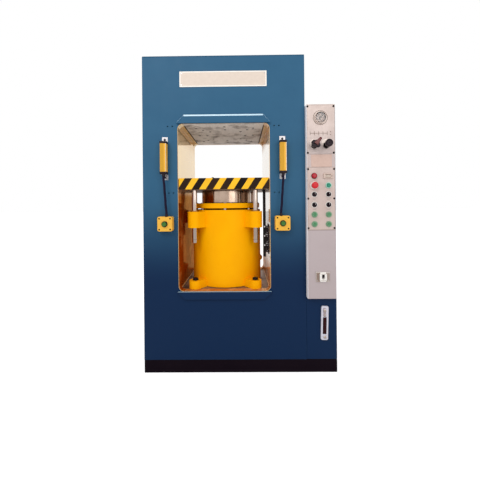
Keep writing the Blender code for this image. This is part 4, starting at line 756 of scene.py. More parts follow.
GUARD_YELLOW = Enamel(
    "guard_yellow_coat", shade(240, 182, 68), shade(228, 164, 48), shade(250, 220, 150), roughness=0.45,
    skin_scale=600.0, skin_strength=0.12, wear=0.2, wear_width=0.001, dust=0.05, gloss=0.2,
)
GUARD_AMBER = Enamel(
    "guard_amber_lens", shade(208, 156, 52), shade(190, 138, 40), shade(230, 190, 110), roughness=0.3,
    skin_scale=600.0, skin_strength=0.05, wear=0.1, wear_width=0.001, dust=0.0, gloss=0.08,
)
CEILING_STEEL = BareMetal(
    "ceiling_ground_steel", shade(250, 242, 236), shade(84, 58, 42), roughness=0.6, grain=Grain.DEEP,
    stain_share=0.72, stain_scale=9.0, metallic=0.0, gloss=0.1, streak_share=0.5,
)
FLOOR_STEEL = BareMetal(
    "floor_milled_steel", shade(150, 128, 108), shade(84, 54, 32), roughness=0.4, grain=Grain.ACROSS,
    stain_share=0.7, metallic=0.5, gloss=0.2,
)
RAM_CHROME = BareMetal(
    "ram_chrome", shade(192, 168, 150), shade(120, 88, 62), roughness=0.1, grain=Grain.UPRIGHT,
    grain_scale=1.6, grain_strength=0.05, stain_share=0.3, stain_scale=10.0,
)
CHROME = BareMetal(
    "hard_chrome", shade(204, 188, 178), shade(160, 130, 110), roughness=0.08, grain=Grain.UPRIGHT,
    grain_scale=5.0, grain_strength=0.03, stain_share=0.25, stain_scale=14.0,
)
# The console's sheet is painted darker below the given heights: painted shade.
STAINLESS = BareMetal(
    "brushed_stainless", shade(214, 196, 188), shade(192, 174, 166), roughness=0.5, grain=Grain.UPRIGHT,
    grain_scale=2.0, grain_strength=0.01, stain_share=0.5, stain_scale=7.0, metallic=0.2, streak_share=0.16,
    low_shade_colour=shade(181, 167, 168), low_shade_heights=(0.95, 1.50),
)
PANEL_STEEL = BareMetal(
    "panel_stainless", shade(198, 178, 170), shade(178, 156, 146), roughness=0.5, grain=Grain.UPRIGHT,
    grain_scale=2.0, grain_strength=0.01, stain_share=0.5, stain_scale=8.0, metallic=0.15, streak_share=0.16,
)
# The console's left side is painted near white: painted highlight.
SIDE_HIGHLIGHT_STEEL = BareMetal(
    "console_side_highlight_stainless", shade(246, 240, 242), shade(228, 220, 224), roughness=0.5, grain=Grain.UPRIGHT,
    grain_scale=2.0, grain_strength=0.01, stain_share=0.3, stain_scale=5.0, metallic=0.0, streak_share=0.1,
)
GAUGE_STEEL = BareMetal(
    "gauge_flange_steel", shade(230, 214, 204), shade(210, 194, 184), roughness=0.4, stain_share=0.3,
    stain_scale=40.0, metallic=0.2, streak_share=0.1,
)
BRIGHT_STEEL = BareMetal(
    "bright_zinc_steel", shade(206, 202, 204), shade(150, 140, 134), roughness=0.3, stain_share=0.3,
    stain_scale=30.0, metallic=0.8,
)
DARK_STEEL = BareMetal(
    "blacked_steel", shade(22, 16, 16), shade(44, 34, 30), roughness=0.5, stain_share=0.4, stain_scale=20.0,
    metallic=0.0, gloss=0.15,
)
BRONZE = BareMetal("bush_bronze", shade(170, 126, 70), shade(110, 80, 46), roughness=0.35, stain_scale=30.0)
BLACK_PLASTIC = Moulded("black_plastic", shade(26, 12, 20), shade(44, 26, 36), roughness=0.35, gloss=0.2)
SEAL_RUBBER = Moulded("seal_rubber", shade(14, 8, 6), shade(24, 16, 12), roughness=0.65, gloss=0.08)
SCREW_BLACK = Moulded("screw_black", shade(24, 14, 12), shade(40, 28, 24), roughness=0.5, gloss=0.15)
LEAD_SHEATH = Moulded("lead_sheath", shade(18, 8, 34), shade(30, 18, 50), roughness=0.6, skin_scale=400.0, gloss=0.15)
GREEN_PLASTIC = Moulded("green_plastic", shade(76, 134, 92), shade(58, 112, 72), roughness=0.3, skin_strength=0.03)
HAND_GREEN = Moulded("hand_button_green", shade(62, 112, 44), shade(48, 96, 36), roughness=0.4, skin_strength=0.03)
TEAL_PLASTIC = Moulded("teal_plastic", shade(30, 132, 104), shade(22, 112, 90), roughness=0.3, skin_strength=0.03)
PALE_GREEN = Moulded("pale_green_rim", shade(122, 162, 128), shade(108, 148, 116), roughness=0.35, skin_strength=0.03)
PALE_TEAL = Moulded("pale_teal_rim", shade(168, 214, 196), shade(146, 196, 176), roughness=0.35, skin_strength=0.03)
LAMP_RIM = Moulded("lamp_rim_red", shade(98, 26, 30), shade(74, 18, 24), roughness=0.4, skin_strength=0.03)
COUNTER_BEIGE = Moulded("counter_beige", shade(206, 184, 172), shade(192, 170, 158), roughness=0.45)
INLAY_BROWN = Moulded("breaker_inlay_brown", shade(158, 138, 126), shade(140, 120, 110), roughness=0.5)
RED_PLASTIC = Moulded("red_plastic", shade(206, 34, 42), shade(182, 26, 36), roughness=0.3, skin_strength=0.03)
LAMP_RED = Moulded("lamp_red_lens", shade(176, 30, 44), shade(136, 22, 38), roughness=0.2, skin_strength=0.03)
LEVER_BROWN = Moulded("lever_brown", shade(122, 76, 74), shade(90, 52, 54), roughness=0.35)
GREY_PLASTIC = Moulded("grey_plastic", shade(180, 166, 158), shade(160, 148, 142), roughness=0.45)
WHITE_PLASTIC = Moulded(
    "white_plastic", shade(240, 236, 230), shade(226, 220, 214), roughness=0.35, skin_strength=0.03,
)
DIAL_WHITE = Moulded(
    "dial_white", shade(206, 182, 172), shade(192, 168, 158), roughness=0.6, skin_strength=0.01, gloss=0.1,
)
# The dark brown of the thin rings on the gauge, round the valve nuts and under the level gauge's bolts: painted
# shadow.
SHADOW_OUTLINE = Moulded(
    "painted_shadow_outline_brown", shade(88, 66, 60), shade(74, 54, 50), roughness=0.6, skin_strength=0.01, gloss=0.05,
)
DIAL_PRINT = Moulded("dial_print", shade(172, 148, 138), shade(162, 138, 130), roughness=0.6, gloss=0.1)
KNOB_GREY = Moulded("knob_face_grey", shade(150, 126, 130), shade(120, 98, 102), roughness=0.35, gloss=0.2)
LABEL_PINK = Moulded("label_pink", shade(208, 178, 165), shade(196, 166, 152), roughness=0.5, skin_strength=0.02)
NAME_CREAM = Moulded(
    "name_plate_cream", shade(224, 208, 194), shade(212, 196, 182), roughness=0.45, skin_strength=0.02,
)
BORDER_WHITE = Moulded(
    "name_plate_border", shade(254, 250, 242), shade(248, 242, 232), roughness=0.4, skin_strength=0.02,
)
ENGRAVED = Moulded("engraved_line", shade(128, 106, 94), shade(108, 88, 78), roughness=0.6, gloss=0.1)
CLEAR_GLASS = Glazing("clear_glass", (0.95, 0.96, 0.96))
OIL_GLASS = Moulded(
    "oil_behind_glass", shade(46, 4, 8), shade(28, 1, 4), roughness=0.12, skin_strength=0.0, gloss=0.15,
)
LEVEL_SILVER = BareMetal(
    "level_gauge_silver", shade(216, 214, 226), shade(176, 170, 180), roughness=0.35, stain_share=0.3,
    stain_scale=40.0, metallic=0.3, streak_share=0.15,
)
LEVEL_CHANNEL = Moulded("level_gauge_channel", shade(172, 156, 160), shade(150, 134, 138), roughness=0.4)


# Shapes


REACH_SHARE = 0.45
MERGE_GAP = 1e-6
NODE_MERGE_GAP = 1e-5


def softened(outline: Profile, radius: float, steps: int = 3) -> Profile:
    """Round the inner corners of an open outline.

    Args:
        outline: The corners of the outline.
        radius: How far from each corner the rounding starts, as far as its sides leave room.
        steps: Straight pieces in each rounding.

    Returns:
        The outline with its corners rounded.
    """
    if radius <= 0:
        return outline
    points = [outline[0]]
    for before, corner, after in zip(outline, outline[1:], outline[2:]):
        here, back, on = Vector(corner), Vector(before) - Vector(corner), Vector(after) - Vector(corner)
        reach = min(radius, back.length * REACH_SHARE, on.length * REACH_SHARE)
        start, end = here + back.normalized() * reach, here + on.normalized() * reach
        for step in range(steps + 1):
            share = step / steps
            bend = start.lerp(here, share).lerp(here.lerp(end, share), share)
            points.append((bend.x, bend.y))
    points.append(outline[-1])
    return points


def weigh_normals(mesh: bpy.types.Mesh) -> None:
    """Shade a mesh smoothly, with broad faces ruling the shade of the softened edges beside them.

    Args:
        mesh: The mesh, whose loops get their own normals.
    """
    limit = cos(SMOOTH_ANGLE)
    mesh.shade_smooth()
    mesh.set_sharp_from_angle(angle=SMOOTH_ANGLE)
    weights = [(face.normal.copy(), face.area) for face in mesh.polygons]
    around: list[list[int]] = [[] for _ in mesh.vertices]
    for face in mesh.polygons:
        for corner in face.vertices:
            around[corner].append(face.index)
    normals = []
    for face in mesh.polygons:
        own = weights[face.index][0]
        for corner in face.vertices:
            shared = Vector()
            for index in around[corner]:
                normal, area = weights[index]
                if normal.dot(own) > limit:
                    shared += normal * area
            normals.append(shared.normalized() if shared.length > 0 else own)
    mesh.normals_split_custom_set(normals)


def turn_to(way: Vector) -> Matrix:
    """Return the rotation that carries +Z onto a direction."""
    return Vector((0, 0, 1)).rotation_difference(way.normalized()).to_matrix().to_4x4()


class Form:
    """A piece while it is modelled: a bmesh to which finished shapes are added."""

    def __init__(self) -> None:
        """Start with nothing."""
        self.mesh = bmesh.new()

    def take(self, part: bmesh.types.BMesh, finish: int = 0) -> "Form":
        """Add a finished shape.

        Args:
            part: The shape, which is used up.
            finish: Which of the piece's finishes it gets.

        Returns:
            The form, for the next shape.
        """
        for face in part.faces:
            face.material_index = finish
        scratch = bpy.data.meshes.new("scratch")
        part.to_mesh(scratch)
        part.free()
        self.mesh.from_mesh(scratch)
        bpy.data.meshes.remove(scratch)
        return self

    def box(
        self, low: Vector, high: Vector, soft: float = 0.0, finish: int = 0, turn: Matrix | None = None, steps: int = 2
    ) -> "Form":
        """Add a box with softened edges.

        Args:
            low: Lowest corner.
            high: Highest corner.
            soft: Width of the rounding along its edges.
            finish: Which of the piece's finishes it gets.
            turn: A transform about the row frame's origin, applied at the end.
            steps: Segments in the rounding.

        Returns:
            The form.
        """
        low, high = Vector(low), Vector(high)
        part = bmesh.new()
        bmesh.ops.create_cube(part, size=1.0)
        bmesh.ops.scale(part, verts=part.verts, vec=high - low)
        bmesh.ops.translate(part, verts=part.verts, vec=(low + high) / 2)
        self.soften(part, part.edges, soft, steps)
        if turn is not None:
            bmesh.ops.transform(part, verts=part.verts, matrix=turn)
        return self.take(part, finish)

    @staticmethod
    def soften(part: bmesh.types.BMesh, edges: object, width: float, steps: int = 2) -> None:
        """Round some edges of a shape.

        Args:
            part: The shape.
            edges: The edges.
            width: Width of the rounding, which may be 0.
            steps: Segments in the rounding.
        """
        if width > 0:
            bmesh.ops.bevel(
                part, geom=list(edges), offset=width, segments=steps, profile=0.5,
                affect="EDGES", clamp_overlap=True, material=-1,
            )

    def turned(
        self, profile: Profile, start: Vector, way: Way | Vector = Way.UP, steps: int = 64, soft: float = 0.0,
        finish: int = 0, ring: bool = False,
    ) -> "Form":
        """Add a shape that is spun from an outline of (radius, height) points.

        Args:
            profile: The outline, from the axis to the axis, or all round a ring's section.
            start: Where the height is zero.
            way: The direction of the axis.
            steps: Facets round the axis.
            soft: Rounding of the outline's corners.
            finish: Which of the piece's finishes it gets.
            ring: Whether the outline closes on itself.

        Returns:
            The form.
        """
        axis = Vector(way.value) if isinstance(way, Way) else way
        outline = softened(profile + [profile[0]] if ring else profile, soft)
        part = bmesh.new()
        corners = [part.verts.new((radius, 0, height)) for radius, height in outline]
        edges = [part.edges.new(pair) for pair in zip(corners, corners[1:])]
        bmesh.ops.spin(
            part, geom=corners + edges, cent=(0, 0, 0), axis=(0, 0, 1), dvec=(0, 0, 0), angle=tau, steps=steps,
            use_merge=True, use_duplicate=False,
        )
        bmesh.ops.remove_doubles(part, verts=part.verts, dist=MERGE_GAP)
        bmesh.ops.recalc_face_normals(part, faces=part.faces)
        bmesh.ops.transform(part, verts=part.verts, matrix=Matrix.Translation(start) @ turn_to(axis))
        return self.take(part, finish)

    def rod(
        self, start: Vector, way: Way | Vector, radius: float, length: float, steps: int = 32, soft: float = 0.0,
        finish: int = 0, end_radius: float | None = None,
    ) -> "Form":
        """Add a straight round bar or cone with softened rims.

        Args:
            start: The middle of its first end.
            way: The direction in which it runs.
            radius: Its radius.
            length: Its length.
            steps: Facets round the axis.
            soft: Rounding of its rims.
            finish: Which of the piece's finishes it gets.
            end_radius: Its radius at the far end, where that is another one.

        Returns:
            The form.
        """
        top = radius if end_radius is None else end_radius
        profile = [(0.0, 0.0), (radius, 0.0), (top, length), (0.0, length)]
        return self.turned(profile, start, way, steps, soft, finish)

    def band(
        self, start: Vector, inner: float, outer: float, height: float, steps: int = 72, soft: float = 0.0,
        finish: int = 0, way: Way = Way.FRONT, lift: float = 0.0,
    ) -> "Form":
        """Add a flat ring.

        Args:
            start: Where the height is zero, on the axis.
            inner: Inner radius.
            outer: Outer radius.
            height: Where its face is.
            steps: Facets round the axis.
            soft: Rounding of its rims.
            finish: Which of the piece's finishes it gets.
            way: The direction in which its face looks.
            lift: Where its back is.

        Returns:
            The form.
        """
        profile = [(inner, lift), (outer, lift), (outer, height), (inner, height)]
        return self.turned(profile, start, way, steps, soft, finish, ring=True)

    def slab(
        self, outline: Profile, front: float, back: float, soft: float = 0.0, finish: int = 0, steps: int = 2
    ) -> "Form":
        """Add a plate of any outline that faces the operator.

        Args:
            outline: Corners of the plate as (x, z) in the row frame.
            front: Y of its front face.
            back: Y of its back face.
            soft: Rounding along the front edges.
            finish: Which of the piece's finishes it gets.
            steps: Segments in the rounding.

        Returns:
            The form.
        """
        part = bmesh.new()
        face = part.faces.new([part.verts.new((x, back, z)) for x, z in outline])
        lifted = bmesh.ops.extrude_face_region(part, geom=[face], use_keep_orig=True)["geom"]
        corners = [item for item in lifted if isinstance(item, bmesh.types.BMVert)]
        bmesh.ops.translate(part, verts=corners, vec=(0, front - back, 0))
        bmesh.ops.recalc_face_normals(part, faces=part.faces)
        rim = [edge for edge in part.edges if all(abs(corner.co.y - front) < 1e-7 for corner in edge.verts)]
        self.soften(part, rim, soft, steps)
        return self.take(part, finish)

    def packed(self, node: str, soft: float = 0.0, finish: int = 0, steps: int = 2, angle: float = 30.0) -> "Form":
        """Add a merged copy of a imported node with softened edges.

        Args:
            node: The node's name.
            soft: Width of the rounding.
            finish: Which of the piece's finishes it gets.
            steps: Segments in the rounding.
            angle: Edges that turn by more than this many degrees are rounded.

        Returns:
            The form.
        """
        part = bmesh.new()
        part.from_mesh(frame["nodes"][node].data)
        bmesh.ops.remove_doubles(part, verts=part.verts, dist=NODE_MERGE_GAP)
        bmesh.ops.dissolve_limit(
            part, angle_limit=radians(1), verts=part.verts, edges=part.edges, use_dissolve_boundaries=False,
            delimit=set(),
        )
        sharp = [edge for edge in part.edges if edge.is_manifold and edge.calc_face_angle(0) > radians(angle)]
        self.soften(part, sharp, soft, steps)
        return self.take(part, finish)

    def strand(self, points: list[Vector], radius: float, sides: int = 10, finish: int = 0) -> "Form":
        """Add a round cable.

        Args:
            points: The points that it runs through.
            radius: Its radius.
            sides: Facets round it.
            finish: Which of the piece's finishes it gets.

        Returns:
            The form.
        """
        part = bmesh.new()
        rings = []
        for index, point in enumerate(points):
            along = points[min(index + 1, len(points) - 1)] - points[max(index - 1, 0)]
            ring = bmesh.ops.create_circle(part, cap_ends=False, segments=sides, radius=radius)["verts"]
            bmesh.ops.transform(part, verts=ring, matrix=Matrix.Translation(point) @ turn_to(along))
            rings.append(ring)
        for first, second in zip(rings, rings[1:]):
            beside = {edge for corner in first + second for edge in corner.link_edges}
            edges = {edge for edge in beside if edge.is_wire or edge.is_boundary}
            here = [edge for edge in edges if all(corner in first for corner in edge.verts)]
            there = [edge for edge in edges if all(corner in second for corner in edge.verts)]
            bmesh.ops.bridge_loops(part, edges=here + there)
        for ring in (rings[0], rings[-1]):
            bmesh.ops.contextual_create(part, geom=ring)
        bmesh.ops.recalc_face_normals(part, faces=part.faces)
        return self.take(part, finish)

    def cut(self, tool: "Form") -> "Form":
        """Cut the form with another one.

        Args:
            tool: The other form, which is used up.

        Returns:
            The form.
        """
        body = self.loose_object("cut_body")
        blade = tool.loose_object("cut_tool")
        modifier = body.modifiers.new("cut", "BOOLEAN")
        modifier.operation = "DIFFERENCE"
        modifier.solver = "EXACT"
        modifier.object = blade
        bpy.context.view_layer.update()
        result = bpy.data.meshes.new_from_object(body.evaluated_get(bpy.context.evaluated_depsgraph_get()))
        for thing in (body, blade):
            mesh = thing.data
            bpy.data.objects.remove(thing)
            bpy.data.meshes.remove(mesh)
        self.mesh = bmesh.new()
        self.mesh.from_mesh(result)
        bpy.data.meshes.remove(result)
        return self

    def loose_object(self, name: str) -> bpy.types.Object:
        """Turn the form into an object in the scene.

        Args:
            name: The object's name.

        Returns:
            The object. The form is used up.
        """
        mesh = bpy.data.meshes.new(name)
        self.mesh.to_mesh(mesh)
        self.mesh.free()
        thing = bpy.data.objects.new(name, mesh)
        bpy.context.scene.collection.objects.link(thing)
        return thing

    def piece(self, name: str, finishes: Finish | list[Finish], body: str, stands_for: str = "") -> bpy.types.Object:
        """Finish the form as a piece of the press.

        Args:
            name: The piece's name.
            finishes: Its finish, or its finishes by index.
            body: The body that it rides on.
            stands_for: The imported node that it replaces, if any.

        Returns:
            The piece.
        """
        made = self.loose_object(name)
        for finish in finishes if isinstance(finishes, list) else [finishes]:
            made.data.materials.append(material_of(finish))
        weigh_normals(made.data)
        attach(made, body)
        if stands_for:
            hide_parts(stands_for)
        LOG.info("%s: %d faces on %s", name, len(made.data.polygons), body)
        return made

    def stand_in(self, node: str, finishes: Finish | list[Finish]) -> bpy.types.Object:
        """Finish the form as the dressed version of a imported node, on that node's body."""
        return self.piece(node + "_dressed", finishes, frame["nodes"][node]["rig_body"], node)


def socket_screw(
    form: Form, start: Vector, way: Way, radius: float, height: float, finish: int = 0, dark: int = 1
) -> None:
    """Add a socket-head screw: a round head with a dark hexagon in it.

    Args:
        form: The form that takes it.
        start: The middle of its seat.
        way: The direction in which its head looks.
        radius: The head's radius.
        height: The head's height.
        finish: Which of the piece's finishes the head gets.
        dark: Which of them the hexagon gets.
    """
    form.rod(start, way, radius, height, 24, radius * 0.12, finish)
    form.rod(start + way.step(height - INLAY / 2), way, radius / 2, INLAY, 6, 0.0, dark)


def pan_screw(form: Form, start: Vector, radius: float, height: float, finish: int = 0, dark: int = 1) -> None:
    """Add a pan-head screw with a crossed slot, facing the operator.

    Args:
        form: The form that takes it.
        start: The middle of its seat.
        radius: The head's radius.
        height: The head's height.
        finish: Which of the piece's finishes the head gets.
        dark: Which of them the slot gets.
    """
    form.turned(
        [(0.0, 0.0), (radius, 0.0), (radius, height * 0.4), (radius * 0.7, height * 0.85), (0.0, height)],
        start, Way.FRONT, 20, radius * 0.15, finish,
    )
    for long, short in ((0.55, 0.12), (0.12, 0.55)):
        half = Vector((radius * long, 0.0, radius * short))
        front = start.y - height - 0.0001
        form.box(
            (start.x - half.x, front, start.z - half.z), (start.x + half.x, front + height * 0.3, start.z + half.z),
            0.0, dark,
        )


def rounded(left: float, bottom: float, right: float, top: float, radius: float, steps: int = 6) -> Profile:
    """Draw a rectangle with round corners.

    Args:
        left: Lowest X.
        bottom: Lowest Z.
        right: Highest X.
        top: Highest Z.
        radius: Radius of its corners.
        steps: Straight pieces in each corner.

    Returns:
        The (x, z) points, counted against the clock.
    """
    centres = (
        (right - radius, bottom + radius, -pi / 2), (right - radius, top - radius, 0.0),
        (left + radius, top - radius, pi / 2), (left + radius, bottom + radius, pi),
    )
    return [
        (x + radius * cos(start + step * pi / 2 / steps), z + radius * sin(start + step * pi / 2 / steps))
        for x, z, start in centres
        for step in range(steps + 1)
    ]


# Sub-assemblies


@dataclass
class WindowFrame:
    """The plate frame round the window, its walls, bolsters, roof, plinth and name plate."""

    plate_soft: float = 0.002
    panel_soft: float = 0.001
    wall_soft: float = 0.0012
    keeper_soft: float = 0.0045
    plinth_soft: float = 0.003
    web_face: float = 0.2655
    flange_reach: float = 0.027
    end_gap: float = 0.001
    seal_width: float = 0.005
    seal_drop: float = 0.0012
    seal_lap: float = 0.001
    bead: float = 0.004
    bead_height: float = 0.006
    bead_lap: float = 0.0005
    strip_reach: float = 0.2285
    strip_height: float = 0.009
    strip_inset: float = 0.0006
    strip_depth: float = 0.002
    window_margin: float = 0.03
    window_heights: tuple[float, float] = (0.44, 1.46)
    window_corner: float = 0.030
    rim_width: float = 0.0018
    rim_lift: float = 0.0002
    rim_depth: float = 0.0015
    bolster_hole: float = 0.0085
    hole_radius: float = 0.0042
    hole_depth: float = 0.012
    hole_spacing: float = 0.0265
    hole_places: tuple[tuple[float, float], ...] = (
        (-0.311, 1.431), (-0.307, 1.044), (0.308, 1.430), (0.307, 1.043),
    )
    border: float = 0.0055
    border_lift: float = 0.0008
    border_inset: float = 0.0005
    rivet_radius: float = 0.0035
    rivet_inset: float = 0.012
    rivet_height: float = 0.002
    door_heights: tuple[tuple[float, float], ...] = ((0.558, 0.901), (0.100, 0.210))
    door_inset: float = 0.066
    door_screw_inset: float = 0.016
    door_screw: tuple[float, float] = (0.006, 0.002)
    latch_place: tuple[float, float] = (0.084, 0.730)
    latch_size: tuple[float, float] = (0.013, 0.003)

    def build(self) -> None:
        """Build and dress every piece of the frame."""
        self.build_plates()
        self.build_keepers()
        self.build_covers()
        self.build_walls()
        self.build_bolsters()
        self.build_name_plate()
        self.build_side_doors()

    def build_plates(self) -> None:
        """Build the window plates."""
        holes = Form()
        for across, height in self.hole_places:
            for side in (-1, 1):
                start = place(across + side * self.hole_spacing / 2, -self.hole_depth / 4, height)
                holes.rod(start, Way.BACK, self.hole_radius, self.hole_depth * 1.25, 20)
        front = Form().packed("front_frame_plate", self.plate_soft).cut(holes)
        rear = Form().packed("rear_frame_plate", self.plate_soft)
        self.paint_opening(front, 1)
        self.paint_opening(rear, -1)
        front.take(self.rim_line().mesh, 3)
        for node, plate in (("front_frame_plate", front), ("rear_frame_plate", rear)):
            plate.stand_in(node, [PRESS_BLUE, LEFT_WALL, RIGHT_WALL, EDGE_CREAM_HIGHLIGHT])

    def build_keepers(self) -> None:
        """Build the lips over and under the window, with painted highlights on their upward faces and a painted
        highlight strip along the upper one's top edge.
        """
        for label, edge in (("upper", HIGHLIGHT_BLUE), ("lower", LEDGE_HIGHLIGHT_BLUE)):
            node = label + "_front_keeper"
            keeper = Form().packed(node, self.keeper_soft, steps=3)
            # Upward faces get the pale blue: painted highlight.
            for face in keeper.mesh.faces:
                if face.normal.z > 0.2 and abs(face.normal.y) < 0.9:
                    face.material_index = 1
            if label == "upper":
                # The strip along the top edge is a painted highlight.
                low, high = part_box(node)
                strip = rounded(
                    WINDOW_MIDDLE - self.strip_reach, high.z - self.strip_height, WINDOW_MIDDLE + self.strip_reach,
                    high.z - self.strip_inset, 0.002, 3,
                )
                keeper.slab(strip, low.y - SEAT_GAP, low.y + self.strip_depth, 0.0, 1)
            keeper.stand_in(node, [PRESS_BLUE, edge])

    def build_covers(self) -> None:
        """Build the roof and the plinth."""
        Form().packed("top_cover", self.panel_soft, angle=60).stand_in("top_cover", PRESS_BLUE)
        low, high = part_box("base_plinth")
        plinth = Form().box(low, high)
        upper = [edge for edge in plinth.mesh.edges if all(corner.co.z > high.z - 1e-5 for corner in edge.verts)]
        Form.soften(plinth.mesh, upper, self.plinth_soft)
        plinth.stand_in("base_plinth", PLINTH_BLACK)

    def paint_opening(self, plate: Form, inward: int) -> None:
        """Give the walls' enamel to a plate's inner face and to the edges of its window, and give the paler edge
        enamel, a painted highlight, to the window's softened edges.

        Args:
            plate: The plate's form.
            inward: 1 where the inner face looks back, -1 where it looks to the front.
        """
        bottom, top = self.window_heights
        for face in plate.mesh.faces:
            middle = face.calc_center_median()
            across = middle.x - WINDOW_MIDDLE
            beside = abs(across) < self.web_face + self.window_margin and bottom < middle.z < top
            if face.normal.y * inward > 0.9 or (beside and abs(face.normal.y) < 0.3):
                face.material_index = 1 if across < 0 else 2
            elif beside and abs(face.normal.y) < 0.97:
                face.material_index = 3

    def rim_line(self) -> Form:
        """Draw the thin golden line round the window's front edge, a painted highlight for the light that the edge
        catches.

        Returns:
            The line's form.
        """
        left, bottom = WINDOW_MIDDLE - self.web_face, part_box("lower_front_keeper")[1].z
        right, top = WINDOW_MIDDLE + self.web_face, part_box("upper_front_keeper")[0].z
        wide, corner = self.rim_width, self.window_corner
        outer = rounded(left - wide, bottom - wide, right + wide, top + wide, corner + wide, 8)
        front = FRONT_FACE - self.rim_lift
        hole = Form().slab(rounded(left, bottom, right, top, corner, 8), front - 0.002, FRONT_FACE + 0.004)
        return Form().slab(outer, front, FRONT_FACE + self.rim_depth).cut(hole)

    def build_walls(self) -> None:
        """Build the golden walls inside the window, each with its ceiling seal and foot bead."""
        sill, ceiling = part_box("left_inner_wall")[0].z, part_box("upper_bolster")[0].z
        for side, finish, outward in (("left", LEFT_WALL, -1), ("right", RIGHT_WALL, 1)):
            node = side + "_inner_wall"
            low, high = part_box(node)
            front, back = low.y + self.end_gap, high.y - self.end_gap
            wall = Form().packed(node, self.wall_soft)
            inner = WINDOW_MIDDLE + outward * self.web_face
            # Faces off the wall's inner face, its ends and flange among them, get the paler edge enamel: painted
            # highlight.
            for face in wall.mesh.faces:
                if abs(face.calc_center_median().x - inner) > 0.002:
                    face.material_index = 1
            lip = inner - outward * self.flange_reach
            ends = sorted((lip - outward * self.seal_width, lip + outward * self.seal_lap))
            seal_low = (ends[0], front, ceiling - self.seal_drop)
            wall.box(seal_low, (ends[1], back, ceiling + INLAY), finish=2)
            ends = sorted((inner - outward * self.bead, inner + outward * self.bead_lap))
            wall.box((ends[0], front, sill + INLAY), (ends[1], back, sill + self.bead_height), 0.001, 1)
            wall.stand_in(node, [finish, EDGE_CREAM_HIGHLIGHT, SEAL_RUBBER])

    def build_bolsters(self) -> None:
        """Build the drilled upper bolster and the lower one."""
        bolster = Form().packed("upper_bolster")
        low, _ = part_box("upper_bolster")
        # The insides of the tapped holes get the black finish: painted shade.
        for face in bolster.mesh.faces:
            middle = face.calc_center_median()
            for across, back in hole_pattern():
                reach = Vector((middle.x - WINDOW_MIDDLE - across, middle.y - BARREL_MIDDLE - back))
                if reach.length < self.bolster_hole and middle.z > low.z + 1e-4:
                    face.material_index = 1
        bolster.stand_in("upper_bolster", [CEILING_STEEL, SEAL_RUBBER])
        Form().packed("lower_bolster", self.panel_soft).stand_in("lower_bolster", FLOOR_STEEL)

    def build_name_plate(self) -> None:
        """Build the bare name plate with its border and rivets."""
        low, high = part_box("name_plate")
        plate = Form().packed("name_plate", 0.0004)
        edge, inset = self.border, self.border_inset
        left, right, bottom, top = low.x + inset, high.x - inset, low.z + inset, high.z - inset
        front, back = low.y - self.border_lift, low.y + self.border_lift
        for bar_low, bar_high in (
            ((left, front, bottom), (right, back, bottom + edge)),
            ((left, front, top - edge), (right, back, top)),
            ((left, front, bottom + edge), (left + edge, back, top - edge)),
            ((right - edge, front, bottom + edge), (right, back, top - edge)),
        ):
            plate.box(bar_low, bar_high, 0.0003, 1)
        for across in (left + self.rivet_inset, right - self.rivet_inset):
            for height in (bottom + self.rivet_inset, top - self.rivet_inset):
                plate.rod(
                    Vector((across, back, height)), Way.FRONT, self.rivet_radius, self.rivet_height, 16, 0.001, 2
                )
        plate.stand_in("name_plate", [NAME_CREAM, BORDER_WHITE, BRIGHT_STEEL])

    def build_side_doors(self) -> None:
        """Build the side panels, with screws and a latch on the left one's doors."""
        Form().packed("right_side_panel", self.panel_soft).stand_in("right_side_panel", PRESS_BLUE)
        panel = Form().packed("left_side_panel", self.panel_soft)
        low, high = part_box("left_side_panel")
        outer = low.x + SEAT_GAP
        for bottom, top in self.door_heights:
            for back in (low.y + self.door_inset, high.y - self.door_inset):
                for height in (bottom + self.door_screw_inset, top - self.door_screw_inset):
                    socket_screw(panel, Vector((outer, back, height)), Way.LEFT, *self.door_screw, 1, 2)
        inset, height = self.latch_place
        latch = Vector((outer, high.y - inset, height))
        panel.rod(latch, Way.LEFT, *self.latch_size, 32, 0.001, 1)
        panel.box(latch + Vector((-0.0035, -0.002, -0.009)), latch + Vector((-0.001, 0.002, 0.009)), 0.0005, 2)
        panel.stand_in("left_side_panel", [PRESS_BLUE, BRIGHT_STEEL, DARK_STEEL])


